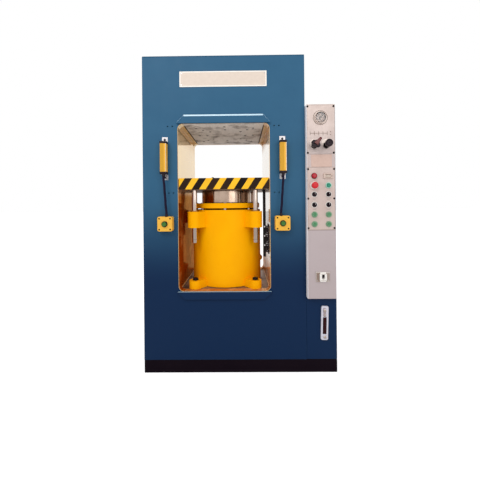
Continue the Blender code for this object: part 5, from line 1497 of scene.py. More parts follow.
@dataclass
class Cylinder:
    """The casting that the ram works in, with its gland, guide lugs, feet and bushes."""

    facets: int = 160
    barrel_radius: float = 0.226
    barrel_soft: float = 0.006
    bore_radius: float = 0.172
    bottom: float = 0.4733
    top: float = 0.942
    floor: float = 0.060
    rod_spots: tuple[float, float] = (0.184, 0.209)
    rod_radius: float = 0.016
    rod_hole_ends: tuple[float, float] = (0.004, 0.006)
    lug_radius: float = 0.041
    lug_height: float = 0.097
    lug_drop: float = 0.009
    lug_soft: float = 0.004
    bush: tuple[float, float, float] = (0.0167, 0.026, 0.006)
    foot_spots: tuple[float, float] = (0.180, 0.214)
    foot_radius: float = 0.038
    foot_height: float = 0.047
    foot_bolt: float = 0.0165
    foot_bolt_height: float = 0.024
    foot_recess: float = 0.0175
    foot_sink: float = 0.012
    root_wall: float = 0.008
    port_drop: float = 0.330
    port_root: float = 0.004
    port: tuple[float, float] = (0.017, 0.012)
    port_plug: tuple[float, float] = (0.0095, 0.004)
    gland_radius: float = 0.221
    gland_bottom: float = 0.951
    gland_top: float = 0.983
    spigot: float = 0.042
    gland_studs: int = 8
    stud_circle: float = 0.205
    stud: tuple[float, float] = (0.0085, 0.010)
    stud_seat: tuple[float, float] = (0.0125, 0.0018)
    stud_screw: tuple[float, float] = (0.009, 0.003)
    lip_radii: tuple[float, float] = (0.176, 0.1745)
    lip_heights: tuple[float, float, float] = (-0.001, 0.0035, 0.004)

    def build(self) -> None:
        """Build and dress every piece of the cylinder."""
        self.build_casting()
        self.build_gland()

    @staticmethod
    def corners(spots: tuple[float, float], height: float = 0.0) -> list[Vector]:
        """Give four places round the cylinder's axis.

        Args:
            spots: How far to the side and to the back they are.
            height: How high they are.

        Returns:
            The places.
        """
        across, back = spots
        return [AXIS + Vector((side * across, end * back, height)) for end in (-1, 1) for side in (-1, 1)]

    def pad(self, form: Form, centre: Vector, radius: float, low: float, high: float, soft: float) -> None:
        """Add an upright pad, round at its centre and carried into the barrel's wall.

        Args:
            form: The form that takes it.
            centre: Its centre, at floor level.
            radius: Its radius.
            low: Its lowest height.
            high: Its highest height.
            soft: Rounding along its rims.
        """
        inward = AXIS - centre
        reach = inward.length - radius - self.bore_radius - self.root_wall
        part = bmesh.new()
        bmesh.ops.create_cone(part, cap_ends=True, segments=48, radius1=radius, radius2=radius, depth=high - low)
        inner = [corner for corner in part.verts if corner.co.x < -radius / 48]
        bmesh.ops.translate(part, verts=inner, vec=(-reach, 0, 0))
        rims = [
            edge for edge in part.edges
            if abs(edge.verts[0].co.z - edge.verts[1].co.z) < 1e-6
            and max(corner.co.x for corner in edge.verts) > -radius
            and len(edge.link_faces) == 2
        ]
        Form.soften(part, rims, soft, 3)
        heading = Vector((-inward.x, -inward.y, 0)).normalized()
        turn = Matrix(((heading.x, -heading.y, 0, 0), (heading.y, heading.x, 0, 0), (0, 0, 1, 0), (0, 0, 0, 1)))
        spot = Matrix.Translation((centre.x, centre.y, (low + high) / 2))
        bmesh.ops.transform(part, verts=part.verts, matrix=spot @ turn)
        form.take(part)

    def build_casting(self) -> None:
        """Build the barrel with lugs, feet, bushes, foot bolts and the plugged oil port."""
        casting = Form()
        inside = self.bottom + self.floor
        profile = [
            (0.0, self.bottom), (self.barrel_radius, self.bottom), (self.barrel_radius, self.top),
            (self.bore_radius, self.top), (self.bore_radius, inside), (0.0, inside),
        ]
        casting.turned(profile, AXIS, Way.UP, self.facets, self.barrel_soft)
        lug_top = self.top - self.lug_drop
        foot_top = self.bottom + self.foot_height
        for corner in self.corners(self.rod_spots):
            self.pad(casting, corner, self.lug_radius, lug_top - self.lug_height, lug_top, self.lug_soft)
        for corner in self.corners(self.foot_spots):
            self.pad(casting, corner, self.foot_radius, self.bottom, foot_top, self.barrel_soft)
        casting.cut(self.drills(lug_top, foot_top))
        for corner in self.corners(self.rod_spots):
            inner, outer, height = self.bush
            casting.band(corner, inner, outer, lug_top + height, 40, 0.001, 1, Way.UP, lug_top)
        for corner in self.corners(self.foot_spots, foot_top - self.foot_sink):
            socket_screw(casting, corner, Way.UP, self.foot_bolt, self.foot_bolt_height, 2, 3)
        port = AXIS + Vector((self.barrel_radius - self.port_root, 0, self.top - self.port_drop))
        casting.rod(port, Way.RIGHT, *self.port, 32, 0.0015)
        casting.rod(port + Way.RIGHT.step(self.port[1] - 0.0002), Way.RIGHT, *self.port_plug, 6, 0.0006, 2)
        casting.stand_in("cylinder_casting", [CAST_YELLOW, BRONZE, DARK_STEEL, SEAL_RUBBER])

    def drills(self, lug_top: float, foot_top: float) -> Form:
        """Build the tools that drill the rod holes and the bolt recesses.

        Args:
            lug_top: Height of the lugs' upper face.
            foot_top: Height of the feet's upper face.

        Returns:
            The tools.
        """
        tools = Form()
        below, above = self.rod_hole_ends
        for corner in self.corners(self.rod_spots, lug_top - self.lug_height - below):
            tools.rod(corner, Way.UP, self.rod_radius + RUNNING_GAP, self.lug_height + below + above, 40)
        for corner in self.corners(self.foot_spots, foot_top - self.foot_sink):
            tools.rod(corner, Way.UP, self.foot_recess, 0.020, 32)
        return tools

    def build_gland(self) -> None:
        """Build the gland ring on its studs, with screws and wiper, and its spigot blackened as painted shade."""
        inner = RAM_RADIUS + RUNNING_GAP
        spigot, foot = self.bore_radius - SEAT_GAP, self.gland_bottom - self.spigot
        ring = [
            (inner, self.gland_top), (self.gland_radius, self.gland_top), (self.gland_radius, self.gland_bottom),
            (spigot, self.gland_bottom), (spigot, foot), (inner, foot),
        ]
        gland = Form().turned(ring, AXIS, Way.UP, self.facets, 0.004, 0, ring=True)
        # The spigot under the gland gets the black finish: painted shade in the gap over the casting.
        for face in gland.mesh.faces:
            if face.calc_center_median().z < self.gland_bottom + 0.0005:
                face.material_index = 3
        root, rim, crest = (self.gland_top + height for height in self.lip_heights)
        wide, narrow = self.lip_radii
        lip = [(inner, root), (wide, root), (narrow, rim), (inner, crest)]
        gland.turned(lip, AXIS, Way.UP, self.facets, 0.0008, 3, ring=True)
        for index in range(self.gland_studs):
            angle = tau * index / self.gland_studs + pi / 2
            spot = AXIS + Vector((self.stud_circle * cos(angle), self.stud_circle * sin(angle), 0))
            gland.rod(spot + Way.UP.step(self.top + SEAT_GAP), Way.UP, *self.stud, 20, 0.0, 1)
            gland.rod(spot + Way.UP.step(self.gland_top - RUNNING_GAP), Way.UP, *self.stud_seat, 28, 0.0004, 2)
            socket_screw(gland, spot + Way.UP.step(self.gland_top), Way.UP, *self.stud_screw, 1, 2)
        gland.stand_in("gland_flange", [CAST_YELLOW, BRIGHT_STEEL, DARK_STEEL, SEAL_RUBBER])


@dataclass
class Crosshead:
    """The moving table with its ram and guide rods."""

    table_soft: float = 0.0022
    hole_radius: float = 0.008
    hole_depth: float = 0.020
    bolt_place: tuple[float, float] = (-0.066, 0.012)
    bolt: tuple[float, float] = (0.006, 0.005)
    piston_radius: float = 0.1717
    piston_height: float = 0.090
    rod_soft: float = 0.003
    mark_height: float = 0.020
    mark_width: float = 0.0012

    def build(self) -> None:
        """Build and dress every piece that moves with the table."""
        self.build_table()
        self.build_ram()
        self.build_rods()

    def build_table(self) -> None:
        """Build the table, with hazard bands on its front and rear edges and tapped holes on top."""
        low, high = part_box("platen")
        tools = Form()
        for across, back in hole_pattern():
            start = Vector((WINDOW_MIDDLE + across, BARREL_MIDDLE + back, high.z - self.hole_depth))
            tools.rod(start, Way.UP, self.hole_radius, self.hole_depth * 1.5, 20)
        table = Form().box(low, high, self.table_soft, steps=3).cut(tools)
        for face in table.mesh.faces:
            if abs(face.normal.y) > 0.7:
                face.material_index = 1
            elif abs(face.normal.z) > 0.7:
                face.material_index = 2
        across, back = self.bolt_place
        start = Vector((WINDOW_MIDDLE + across, low.y + back, high.z - 0.0002))
        table.rod(start, Way.UP, *self.bolt, 6, 0.0008, 3)
        table.stand_in("platen", [PLATEN_YELLOW, PLATEN_BANDS, FLOOR_STEEL, DARK_STEEL])

    def build_ram(self) -> None:
        """Build the chromed ram with its piston."""
        low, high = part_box("ram")
        collar = low.z + self.piston_height
        profile = [
            (0.0, high.z), (RAM_RADIUS, high.z), (RAM_RADIUS, collar), (self.piston_radius, collar),
            (self.piston_radius, low.z), (0.0, low.z),
        ]
        Form().turned(profile, AXIS, Way.UP, 160, 0.003).stand_in("ram", RAM_CHROME)

    def build_rods(self) -> None:
        """Build the four guide rods, each with a turned mark near its foot."""
        for node in ("front_left", "front_right", "rear_left", "rear_right"):
            node += "_guide_rod"
            low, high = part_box(node)
            middle = (low + high) / 2
            start = Vector((middle.x, middle.y, low.z))
            radius = Seat(low, high).radius
            rod = Form().rod(start, Way.UP, radius, high.z - low.z, 64, self.rod_soft)
            mark = start + Way.UP.step(self.mark_height)
            rod.rod(mark, Way.UP, radius + 0.0001, self.mark_width, 64, 0.0, 1)
            rod.stand_in(node, [CHROME, DARK_STEEL])


def hole_pattern() -> Profile:
    """Lay out the tapped holes of table and bolster.

    Returns:
        How far to the side and to the back of the cylinder's axis each of them is.
    """
    spots = [
        (radius * cos(pi / 4 + turn * pi / 2), radius * sin(pi / 4 + turn * pi / 2))
        for radius in (0.139, 0.197, 0.250)
        for turn in range(4)
    ]
    spots += [(side * radius, 0.0) for side in (-1, 1) for radius in (0.130, 0.182)]
    spots += [(0.0, side * radius) for side in (-1, 1) for radius in (0.143, 0.209)]
    return spots


@dataclass
class StrokeStops:
    """The striker bar under the table and the roller switches that it works."""

    levers: tuple[str, ...] = ("upper", "middle", "lower")
    soft: float = 0.0008
    bolt_place: tuple[float, float] = (0.045, 0.0083)
    bolt: tuple[float, float] = (0.006, 0.005)
    switch_middle: float = 0.0065
    screw_back: float = 0.0062
    screw_reach: float = 0.017
    screw: tuple[float, float] = (0.002, 0.0004)
    plug_back: float = 0.030
    plug_drop: float = 0.022
    plug: tuple[float, float] = (0.0052, 0.007)
    roller_inset: float = 0.008
    roller_radius: float = 0.0045

    def build(self) -> None:
        """Build and dress the bar, the switches and their levers."""
        bar = Form().packed("striker_bar", self.soft)
        low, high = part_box("striker_bar")
        back, drop = self.bolt_place
        bolt = Vector((Seat(low, high).x, low.y + back, high.z - drop))
        bar.rod(bolt, Way.DOWN, *self.bolt, 6, 0.0006, 1)
        bar.stand_in("striker_bar", [DARK_STEEL, BRIGHT_STEEL])
        switches = Form().packed("limit_switches", self.soft)
        low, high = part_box("limit_switches")
        joints = {joint["name"]: joint for joint in frame["joints"]}
        for label in self.levers:
            self.build_lever(label + "_switch_lever")
            pivot = Vector(joints[label + "_switch_lever_swing"]["pos_m"])
            across = low.x + self.switch_middle
            for rise in (-self.screw_reach, self.screw_reach):
                start = Vector((across, low.y + self.screw_back, pivot.z + rise))
                switches.rod(start, Way.FRONT, *self.screw, 12, 0.0, 1)
            plug = Vector((across, low.y + self.plug_back, pivot.z - self.plug_drop))
            switches.rod(plug, Way.DOWN, *self.plug, 16, 0.0006, 2)
        switches.stand_in("limit_switches", [BLACK_PLASTIC, BRIGHT_STEEL, SEAL_RUBBER])

    def build_lever(self, node: str) -> None:
        """Build one lever with the pin of its roller.

        Args:
            node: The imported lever.
        """
        low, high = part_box(node)
        lever = Form().packed(node, 0.0003, angle=60)
        tip = Vector((low.x + self.roller_inset, low.y, high.z - self.roller_inset))
        lever.rod(tip, Way.FRONT, self.roller_radius, 0.0003, 20, 0.0, 1)
        lever.stand_in(node, [DARK_STEEL, BRIGHT_STEEL])


@dataclass
class GuardPost:
    """One light curtain bar, its lead, and the hand box with the button below it."""

    side: str
    bar_half: float = 0.020
    bar_depth: float = 0.036
    bar_step: float = 0.0015
    bar_soft: float = 0.003
    lens_end: float = 0.0045
    lens_inset: float = 0.002
    cap: float = 0.012
    cap_soft: float = 0.002
    bracket: float = 0.031
    bracket_half: float = 0.017
    bracket_sheet: float = 0.003
    bracket_front: float = 0.018
    gland_radius: float = 0.009
    gland_inset: float = 0.009
    gland_sink: float = 0.002
    nut_height: float = 0.010
    box_nut_height: float = 0.009
    sleeve_radius: float = 0.0078
    sleeve_height: float = 0.007
    box_sleeve_height: float = 0.008
    lead_bow: float = 0.002
    lead_points: int = 25
    screw_radius: float = 0.006
    screw_height: float = 0.003
    washer_height: float = 0.0008
    box_depth: float = 0.044
    box_height: float = 0.084
    box_corner: float = 0.010
    box_soft: float = 0.003
    box_gland_depth: float = 0.046
    box_screw_inset: float = 0.011
    box_screw: tuple[float, float] = (0.0045, 0.0015)
    lid: float = 0.010
    groove: float = 0.0015
    button_radius: float = 0.0125
    bezel_radius: float = 0.017
    bezel_height: float = 0.006

    def build(self) -> None:
        """Build and dress the bar, the lead and the hand box."""
        self.build_bar()
        self.build_lead()
        self.build_box()
        self.build_button()

    @property
    def outward(self) -> int:
        """Return -1 on the left of the window and 1 on its right."""
        return -1 if self.side == "left" else 1

    def build_bar(self) -> None:
        """Build the yellow bar with caps, lens, brackets, screws and gland."""
        node = self.side + "_light_curtain"
        low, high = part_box(node)
        middle = Seat(low, high).x
        left, right = middle - self.bar_half, middle + self.bar_half
        front, back = low.y, low.y + self.bar_depth
        bottom, top = low.z + self.bracket, high.z - self.bracket
        step, inset = self.bar_step, self.lens_inset
        foot, head = bottom + self.cap, top - self.cap
        bar = Form().box((left + step, front + step, foot), (right - step, back - step, head), self.bar_soft, steps=3)
        lens_back = front + step + 0.001
        lens_low = (left + step + inset, front + step - 0.0006, foot)
        bar.box(lens_low, (middle + self.lens_end, lens_back, head), 0.0004, 4)
        line_low = (right - step - 2 * inset, front + step - 0.0005, foot)
        bar.box(line_low, (right - step - inset, lens_back, head), 0.0003, 2)
        bar.box((left, front, bottom), (right, back, foot + step), self.cap_soft, 1)
        bar.box((left, front, head - step), (right, back, top), self.cap_soft, 1)
        self.add_bracket(bar, middle, front, -1, bottom)
        self.add_bracket(bar, middle, front, 1, top)
        gland = Vector((middle, front + self.gland_radius, bottom + self.gland_sink))
        self.add_gland(bar, gland, Way.DOWN, 1, self.nut_height, self.sleeve_height)
        bar.stand_in(node, [GUARD_YELLOW, BLACK_PLASTIC, BRIGHT_STEEL, DARK_STEEL, GUARD_AMBER])

    def add_gland(self, form: Form, start: Vector, way: Way, finish: int, nut: float, sleeve: float) -> None:
        """Add the gland of the lead: a nut and the sleeve that comes out of it.

        Args:
            form: The form that takes it.
            start: The middle of the nut's back.
            way: The direction in which the lead leaves.
            finish: Which of the piece's finishes it gets.
            nut: The nut's height.
            sleeve: The sleeve's height.
        """
        form.rod(start, way, self.gland_radius, nut, 6, 0.0006, finish)
        form.rod(start + way.step(nut - 0.001), way, self.sleeve_radius, sleeve, 20, 0.001, finish)

    def add_bracket(self, bar: Form, middle: float, front: float, lean: int, edge: float) -> None:
        """Add one bent bracket with its screw.

        Args:
            bar: The form that takes it.
            middle: X of the bar's middle.
            front: Y of the bar's front face.
            lean: 1 for the upper bracket, -1 for the lower one.
            edge: Height of the bar's end.
        """
        half, sheet, length = self.bracket_half, self.bracket_sheet, self.bracket
        face = FRONT_FACE - SEAT_GAP
        ends = sorted((edge - lean * sheet, edge + lean * length))
        bar.box((middle - half, face - sheet, ends[0]), (middle + half, face, ends[1]), 0.0012, 2)
        ends = sorted((edge, edge + lean * sheet))
        bar.box((middle - half, front + self.bracket_front, ends[0]), (middle + half, face, ends[1]), 0.0008, 2)
        start = Vector((middle, face - sheet, edge + lean * length / 2))
        bar.rod(start, Way.FRONT, self.screw_radius * 1.5, self.washer_height, 24, 0.0003, 2)
        start += Way.FRONT.step(self.washer_height)
        socket_screw(bar, start, Way.FRONT, self.screw_radius, self.screw_height, 3, 3)

    def build_lead(self) -> None:
        """Build the lead between the two glands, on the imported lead's own line."""
        node = self.side + "_curtain_lead"
        low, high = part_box(node)
        start = Seat(*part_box(self.side + "_light_curtain")).x
        end = Seat(*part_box(self.side + "_hand_box")).x - self.outward * self.gland_inset
        line = []
        for index in range(self.lead_points):
            along = index / (self.lead_points - 1)
            ease = along * along * (3 - 2 * along)
            bow = self.lead_bow * sin(tau * along) ** 3
            across = start + (end - start) * ease - self.outward * bow
            line.append(Vector((across, (low.y + high.y) / 2, high.z + (low.z - high.z) * along)))
        Form().strand(line, (high.y - low.y) / 2, 20).stand_in(node, LEAD_SHEATH)

    def build_box(self) -> None:
        """Build the hand box with its lid, screws, gland and bezel."""
        node = self.side + "_hand_box"
        low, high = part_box(node)
        bottom, top = low.z, low.z + self.box_height
        face = FRONT_FACE - self.box_depth
        middle_x, middle_z = Seat(low, high).x, (bottom + top) / 2
        box = Form()
        groove, corner, inset = self.groove, self.box_corner, self.box_screw_inset
        outline = rounded(low.x, bottom, high.x, top, corner)
        inner = rounded(low.x + groove, bottom + groove, high.x - groove, top - groove, corner - 0.001)
        split = face + self.lid
        box.slab(outline, split + groove, FRONT_FACE - SEAT_GAP, 0.0008)
        box.slab(inner, split - 0.001, split + groove + 0.001, 0.0, 2)
        box.slab(outline, face, split, self.box_soft, 0, 3)
        for across in (low.x + inset, high.x - inset):
            for height in (bottom + inset, top - inset):
                pan_screw(box, Vector((across, face, height)), *self.box_screw, 3, 1)
        gland_y = FRONT_FACE - self.box_gland_depth + self.gland_radius
        gland = Vector((middle_x - self.outward * self.gland_inset, gland_y, top - self.gland_sink))
        self.add_gland(box, gland, Way.UP, 2, self.box_nut_height, self.box_sleeve_height)
        centre = Vector((middle_x, face, middle_z))
        box.band(centre, self.button_radius + INLAY, self.bezel_radius, self.bezel_height, 40, 0.0012, 2)
        box.stand_in(node, [GUARD_YELLOW, SEAL_RUBBER, BLACK_PLASTIC, SCREW_BLACK])

    def build_button(self) -> None:
        """Build the green button, with a shallow dish in its face."""
        node = self.side + "_hand_button"
        seat = Seat(*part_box(node))
        depth, radius = seat.depth, seat.radius
        profile = [
            (0.0, 0.0), (radius, 0.0), (radius, depth), (radius * 0.82, depth), (radius * 0.78, depth - 0.0008),
            (0.0, depth - 0.0012),
        ]
        Form().turned(profile, seat.back, Way.FRONT, 40, 0.0012).stand_in(node, HAND_GREEN)


@dataclass
class Console:
    """The side cabinet and the stainless console with all its operating parts."""

    panel_sheet: float = 0.0012
    top_panel: tuple[float, float, float, float] = (0.4755, 1.256, 0.6285, 1.531)
    label: tuple[float, float, float, float] = (0.496, 1.1825, 0.613, 1.2525)
    shadow_line_width: float = 0.0008
    button_shadow_line: tuple[float, float, float, float] = (0.0012, 0.0028, 0.0016, 0.0016)
    shadow_line_lift: float = 0.0005
    screw_rows: tuple[float, ...] = (1.524, 1.262, 1.170, 1.004, 0.837)
    screw_columns: tuple[float, float] = (0.478, 0.624)
    screw: tuple[float, float] = (0.0058, 0.0018)
    tag_columns: tuple[float, float] = (0.512, 0.592)
    tag_rows: tuple[float, float] = (1.000, 0.942)
    tag_half: tuple[float, float] = (0.009, 0.0022)
    panel_depth: float = 0.040
    bezel_radius: float = 0.0168
    bezel_height: float = 0.0043
    selector_ring: tuple[float, float, float] = (0.0139, 0.0172, 0.0014)
    stop_ring: tuple[float, float, float] = (0.0165, 0.0225, 0.0008)
    flow_height: float = 1.372
    flow_ends: tuple[float, float] = (0.491, 0.589)
    flow_ticks: tuple[float, ...] = (0.492, 0.516, 0.540, 0.564, 0.588)
    flow_line: float = 0.0011
    tick_reach: float = 0.011
    flow_dots: tuple[float, float] = (0.606, 0.008)
    engraving: float = 0.0002

    def build(self) -> None:
        """Build and dress the cabinet and everything on it."""
        Form().packed("side_cabinet", 0.0015).stand_in("side_cabinet", PRESS_BLUE)
        self.build_box()
        self.build_panel()
        Gauge().build()
        Valves().build()
        self.build_lamp()
        self.build_counter()
        self.build_buttons()
        self.build_stop()
        for node in SELECTORS:
            self.build_selector(node)
        Breaker().build()
        self.build_level_gauge()

    def build_box(self) -> None:
        """Build the console box with its upper panel, label, screws, engraving and the painted shadow lines round its
        panels.
        """
        box = Form().packed("console_box", 0.0008, angle=60)
        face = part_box("console_box")[0].y
        # Faces that look left get the near-white steel: painted highlight.
        for part in box.mesh.faces:
            if part.normal.x < -0.7:
                part.material_index = 5
        front = face - self.panel_sheet
        left, bottom, right, top = self.top_panel
        left, right, wide = row_x(left), row_x(right), self.shadow_line_width
        # A dark slab a little larger than the upper panel, behind it: painted shadow line.
        outline = rounded(left - wide, bottom - wide, right + wide, top + wide, 0.003, 3)
        box.slab(outline, face - INLAY, face, 0.0, 4)
        box.slab(rounded(left, bottom, right, top, 0.003, 3), front, face, 0.0005)
        # A dark slab round the button panel, widest below it: painted shadow line.
        low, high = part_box("button_panel")
        left, bottom, right, top = self.button_shadow_line
        outline = rounded(low.x - left, low.z - bottom, high.x + right, high.z + top, 0.002, 3)
        box.slab(outline, face - self.shadow_line_lift, face, 0.0, 4)
        left, bottom, right, top = self.label
        box.slab(rounded(row_x(left), bottom, row_x(right), top, 0.002, 3), front, face, 0.0003, 2)
        for across in self.screw_columns:
            for height in self.screw_rows[:2]:
                pan_screw(box, Vector((row_x(across), front, height)), *self.screw, 1, 3)
        self.engrave(box, front)
        box.stand_in("console_box", [STAINLESS, SCREW_BLACK, LABEL_PINK, SEAL_RUBBER, ENGRAVED, SIDE_HIGHLIGHT_STEEL])

    def engrave(self, box: Form, face: float) -> None:
        """Engrave the flow line with its ticks and dots above the valves.

        Args:
            box: The form that takes it.
            face: Y of the panel's face.
        """
        level, thick, deep = self.flow_height, self.flow_line, self.engraving
        start, end = (row_x(across) for across in self.flow_ends)
        box.box((start, face - deep, level - thick), (end, face + deep, level + thick), finish=4)
        reach = self.tick_reach
        for across in self.flow_ticks:
            middle = row_x(across)
            tick_low = (middle - thick, face - deep, level - reach)
            box.box(tick_low, (middle + thick, face + deep, level + reach), finish=4)
        across, rise = self.flow_dots
        for height in (level - rise, level + rise):
            box.rod(Vector((row_x(across), face, height)), Way.FRONT, 0.0028, 0.0003, 12, 0.0, 4)

    def build_panel(self) -> None:
        """Build the button panel with its screws, tags, bezels and rings."""
        panel = Form().packed("button_panel", 0.0003, angle=60)
        front = FRONT_FACE - self.panel_depth
        for across in self.screw_columns:
            for height in self.screw_rows[2:]:
                pan_screw(panel, Vector((row_x(across), front, height)), *self.screw, 1, 2)
        wide, tall = self.tag_half
        for across in self.tag_columns:
            middle = row_x(across)
            for height in self.tag_rows:
                tag_low = (middle - wide, front - INLAY, height - tall)
                panel.box(tag_low, (middle + wide, front + INLAY, height + tall), 0.0002, 3)
        for node in BUTTONS:
            seat = Seat(*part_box(node))
            ring = (seat.radius + INLAY, self.bezel_radius, self.bezel_height)
            panel.band(seat.middle_at(front), *ring, 40, 0.0008, 5 if node in GREEN_BUTTONS else 6)
        for node in SELECTORS:
            panel.band(Seat(*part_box(node)).middle_at(front), *self.selector_ring, 48, 0.0004, 4)
        panel.band(Seat(*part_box("emergency_stop")).middle_at(front), *self.stop_ring, 48, 0.0002, 4)
        finishes = [PANEL_STEEL, SCREW_BLACK, SEAL_RUBBER, GREY_PLASTIC, WHITE_PLASTIC, PALE_GREEN, PALE_TEAL]
        panel.stand_in("button_panel", finishes)

    def build_lamp(self) -> None:
        """Build the pilot lamp: a rim with a domed red lens."""
        centre = Seat(*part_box("pilot_lamp")).back
        lamp = Form().rod(centre, Way.FRONT, 0.0168, 0.003, 48, 0.001, 1)
        lens = [(0.0, 0.0), (0.0145, 0.0), (0.0145, 0.008), (0.0125, 0.0105), (0.008, 0.0117), (0.0, 0.012)]
        lamp.turned(lens, centre, Way.FRONT, 48, 0.001).stand_in("pilot_lamp", [LAMP_RED, LAMP_RIM])

    def build_counter(self) -> None:
        """Build the cycle counter with its number wheels and reset pin."""
        digits, spacing, wheel_half, wheel_reach = "000247", 0.005, 0.0022, 0.0055
        window_half, window_reach = 0.015, 0.0085
        counter = Form().packed("cycle_counter", 0.0006, angle=60)
        low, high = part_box("cycle_counter")
        middle = (low + high) / 2
        well = low.y + 0.003
        counter.box(
            (middle.x - window_half, well - INLAY, middle.z - window_reach),
            (middle.x + window_half, well + INLAY, middle.z + window_reach), finish=1,
        )
        for index, digit in enumerate(digits):
            wheel = middle.x + (index - (len(digits) - 1) / 2) * spacing
            counter.box(
                (wheel - wheel_half, well - 0.0012, middle.z - wheel_reach),
                (wheel + wheel_half, well, middle.z + wheel_reach), 0.0003, 2,
            )
            add_text(counter, digit, Vector((wheel, well - 0.0014, middle.z)), 0.0062, 1)
        counter.rod(Vector((high.x - spacing, low.y + 0.0002, middle.z)), Way.FRONT, 0.0022, 0.0015, 16, 0.0004, 1)
        counter.stand_in("cycle_counter", [COUNTER_BEIGE, ENGRAVED, NAME_CREAM])

    def build_buttons(self) -> None:
        """Build the push buttons, each with a shallow dish and a rim of another shade."""
        for node in BUTTONS:
            seat = Seat(*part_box(node))
            start, depth, radius = seat.back, seat.depth, seat.radius
            profile = [
                (0.0, 0.0), (radius, 0.0), (radius, depth), (radius * 0.8, depth), (radius * 0.75, depth - 0.0006),
                (0.0, depth - 0.001),
            ]
            button = Form().turned(profile, start, Way.FRONT, 40, 0.001)
            for face in button.mesh.faces:
                reach = face.calc_center_median() - start
                if Vector((reach.x, reach.z)).length < radius * 0.86 and face.normal.y < -0.5:
                    face.material_index = 1
            green = [PALE_GREEN, GREEN_PLASTIC]
            button.stand_in(node, green if node in GREEN_BUTTONS else [TEAL_PLASTIC, TEAL_PLASTIC])

    def build_stop(self) -> None:
        """Build the mushroom head of the emergency stop."""
        seat = Seat(*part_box("emergency_stop"))
        stem, depth, radius = 0.0115, seat.depth, seat.radius
        profile = [
            (0.0, 0.0), (stem, 0.0), (stem, depth - 0.012), (radius, depth - 0.011), (radius, depth - 0.004),
            (radius * 0.8, depth - 0.0012), (radius * 0.4, depth), (0.0, depth),
        ]
        Form().turned(profile, seat.back, Way.FRONT, 56, 0.0015).stand_in("emergency_stop", RED_PLASTIC)

    def build_selector(self, node: str) -> None:
        """Build one selector: a round base with a waisted grip and a white pointer line.

        Args:
            node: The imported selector.
        """
        low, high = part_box(node)
        start = Seat(low, high).back
        half, reach, line = 0.004, 0.0125, 0.0006
        knob = Form().rod(start, Way.FRONT, 0.0135, 0.006, 48, 0.0012)
        grip = rounded(start.x - half, start.z - reach, start.x + half, start.z + reach, 0.0032, 4)
        knob.slab(grip, low.y, start.y - 0.004, 0.0015, 0, 3)
        line_low = (start.x - line, low.y - 0.0001, start.z + 0.001)
        knob.box(line_low, (start.x + line, low.y + INLAY, start.z + reach - 0.001), finish=1)
        knob.stand_in(node, [BLACK_PLASTIC, WHITE_PLASTIC])

    def build_level_gauge(self) -> None:
        """Build the oil level gauge with its bolts and glass, and a dark disc under each bolt as painted shadow."""
        level = Form().packed("oil_level_frame", 0.0015, angle=50)
        low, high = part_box("oil_level_frame")
        glass_low, glass_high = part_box("oil_level_glass")
        middle, face = Seat(glass_low, glass_high).x, glass_low.y + 0.0002
        channel, margin, seam, seat = 0.008, 0.010, 0.004, low.y + 0.0005
        for bottom, top in ((low.z + margin, glass_low.z - seam), (glass_high.z + seam, high.z - margin)):
            outline = rounded(middle - channel, bottom, middle + channel, top, 0.004, 4)
            level.slab(outline, face - 0.0012, face, 0.0, 1)
        for height, radius in ((low.z + 0.022, 0.0065), (high.z - 0.022, 0.0065), (high.z - 0.050, 0.004)):
            # A dark disc a little larger than each bolt, under it: painted shadow.
            level.rod(Vector((middle, seat, height - 0.002)), Way.FRONT, radius + 0.001, 0.0008, 24, 0.0, 3)
            socket_screw(level, Vector((middle, seat, height)), Way.FRONT, radius, 0.002, 2, 3)
        level.stand_in("oil_level_frame", [LEVEL_SILVER, LEVEL_CHANNEL, NAME_CREAM, SHADOW_OUTLINE])
        Form().packed("oil_level_glass", 0.001).stand_in("oil_level_glass", OIL_GLASS)


def round_about(centre: Vector, radius: float, angle: float, forward: float = 0.0) -> Vector:
    """Give a place round an axis that faces the operator.

    Args:
        centre: A point on the axis.
        radius: Distance from the axis.
        angle: Direction of the place, from X towards Z.
        forward: How far it lies in front of the centre.

    Returns:
        The place.
    """
    return centre + Vector((radius * cos(angle), -forward, radius * sin(angle)))


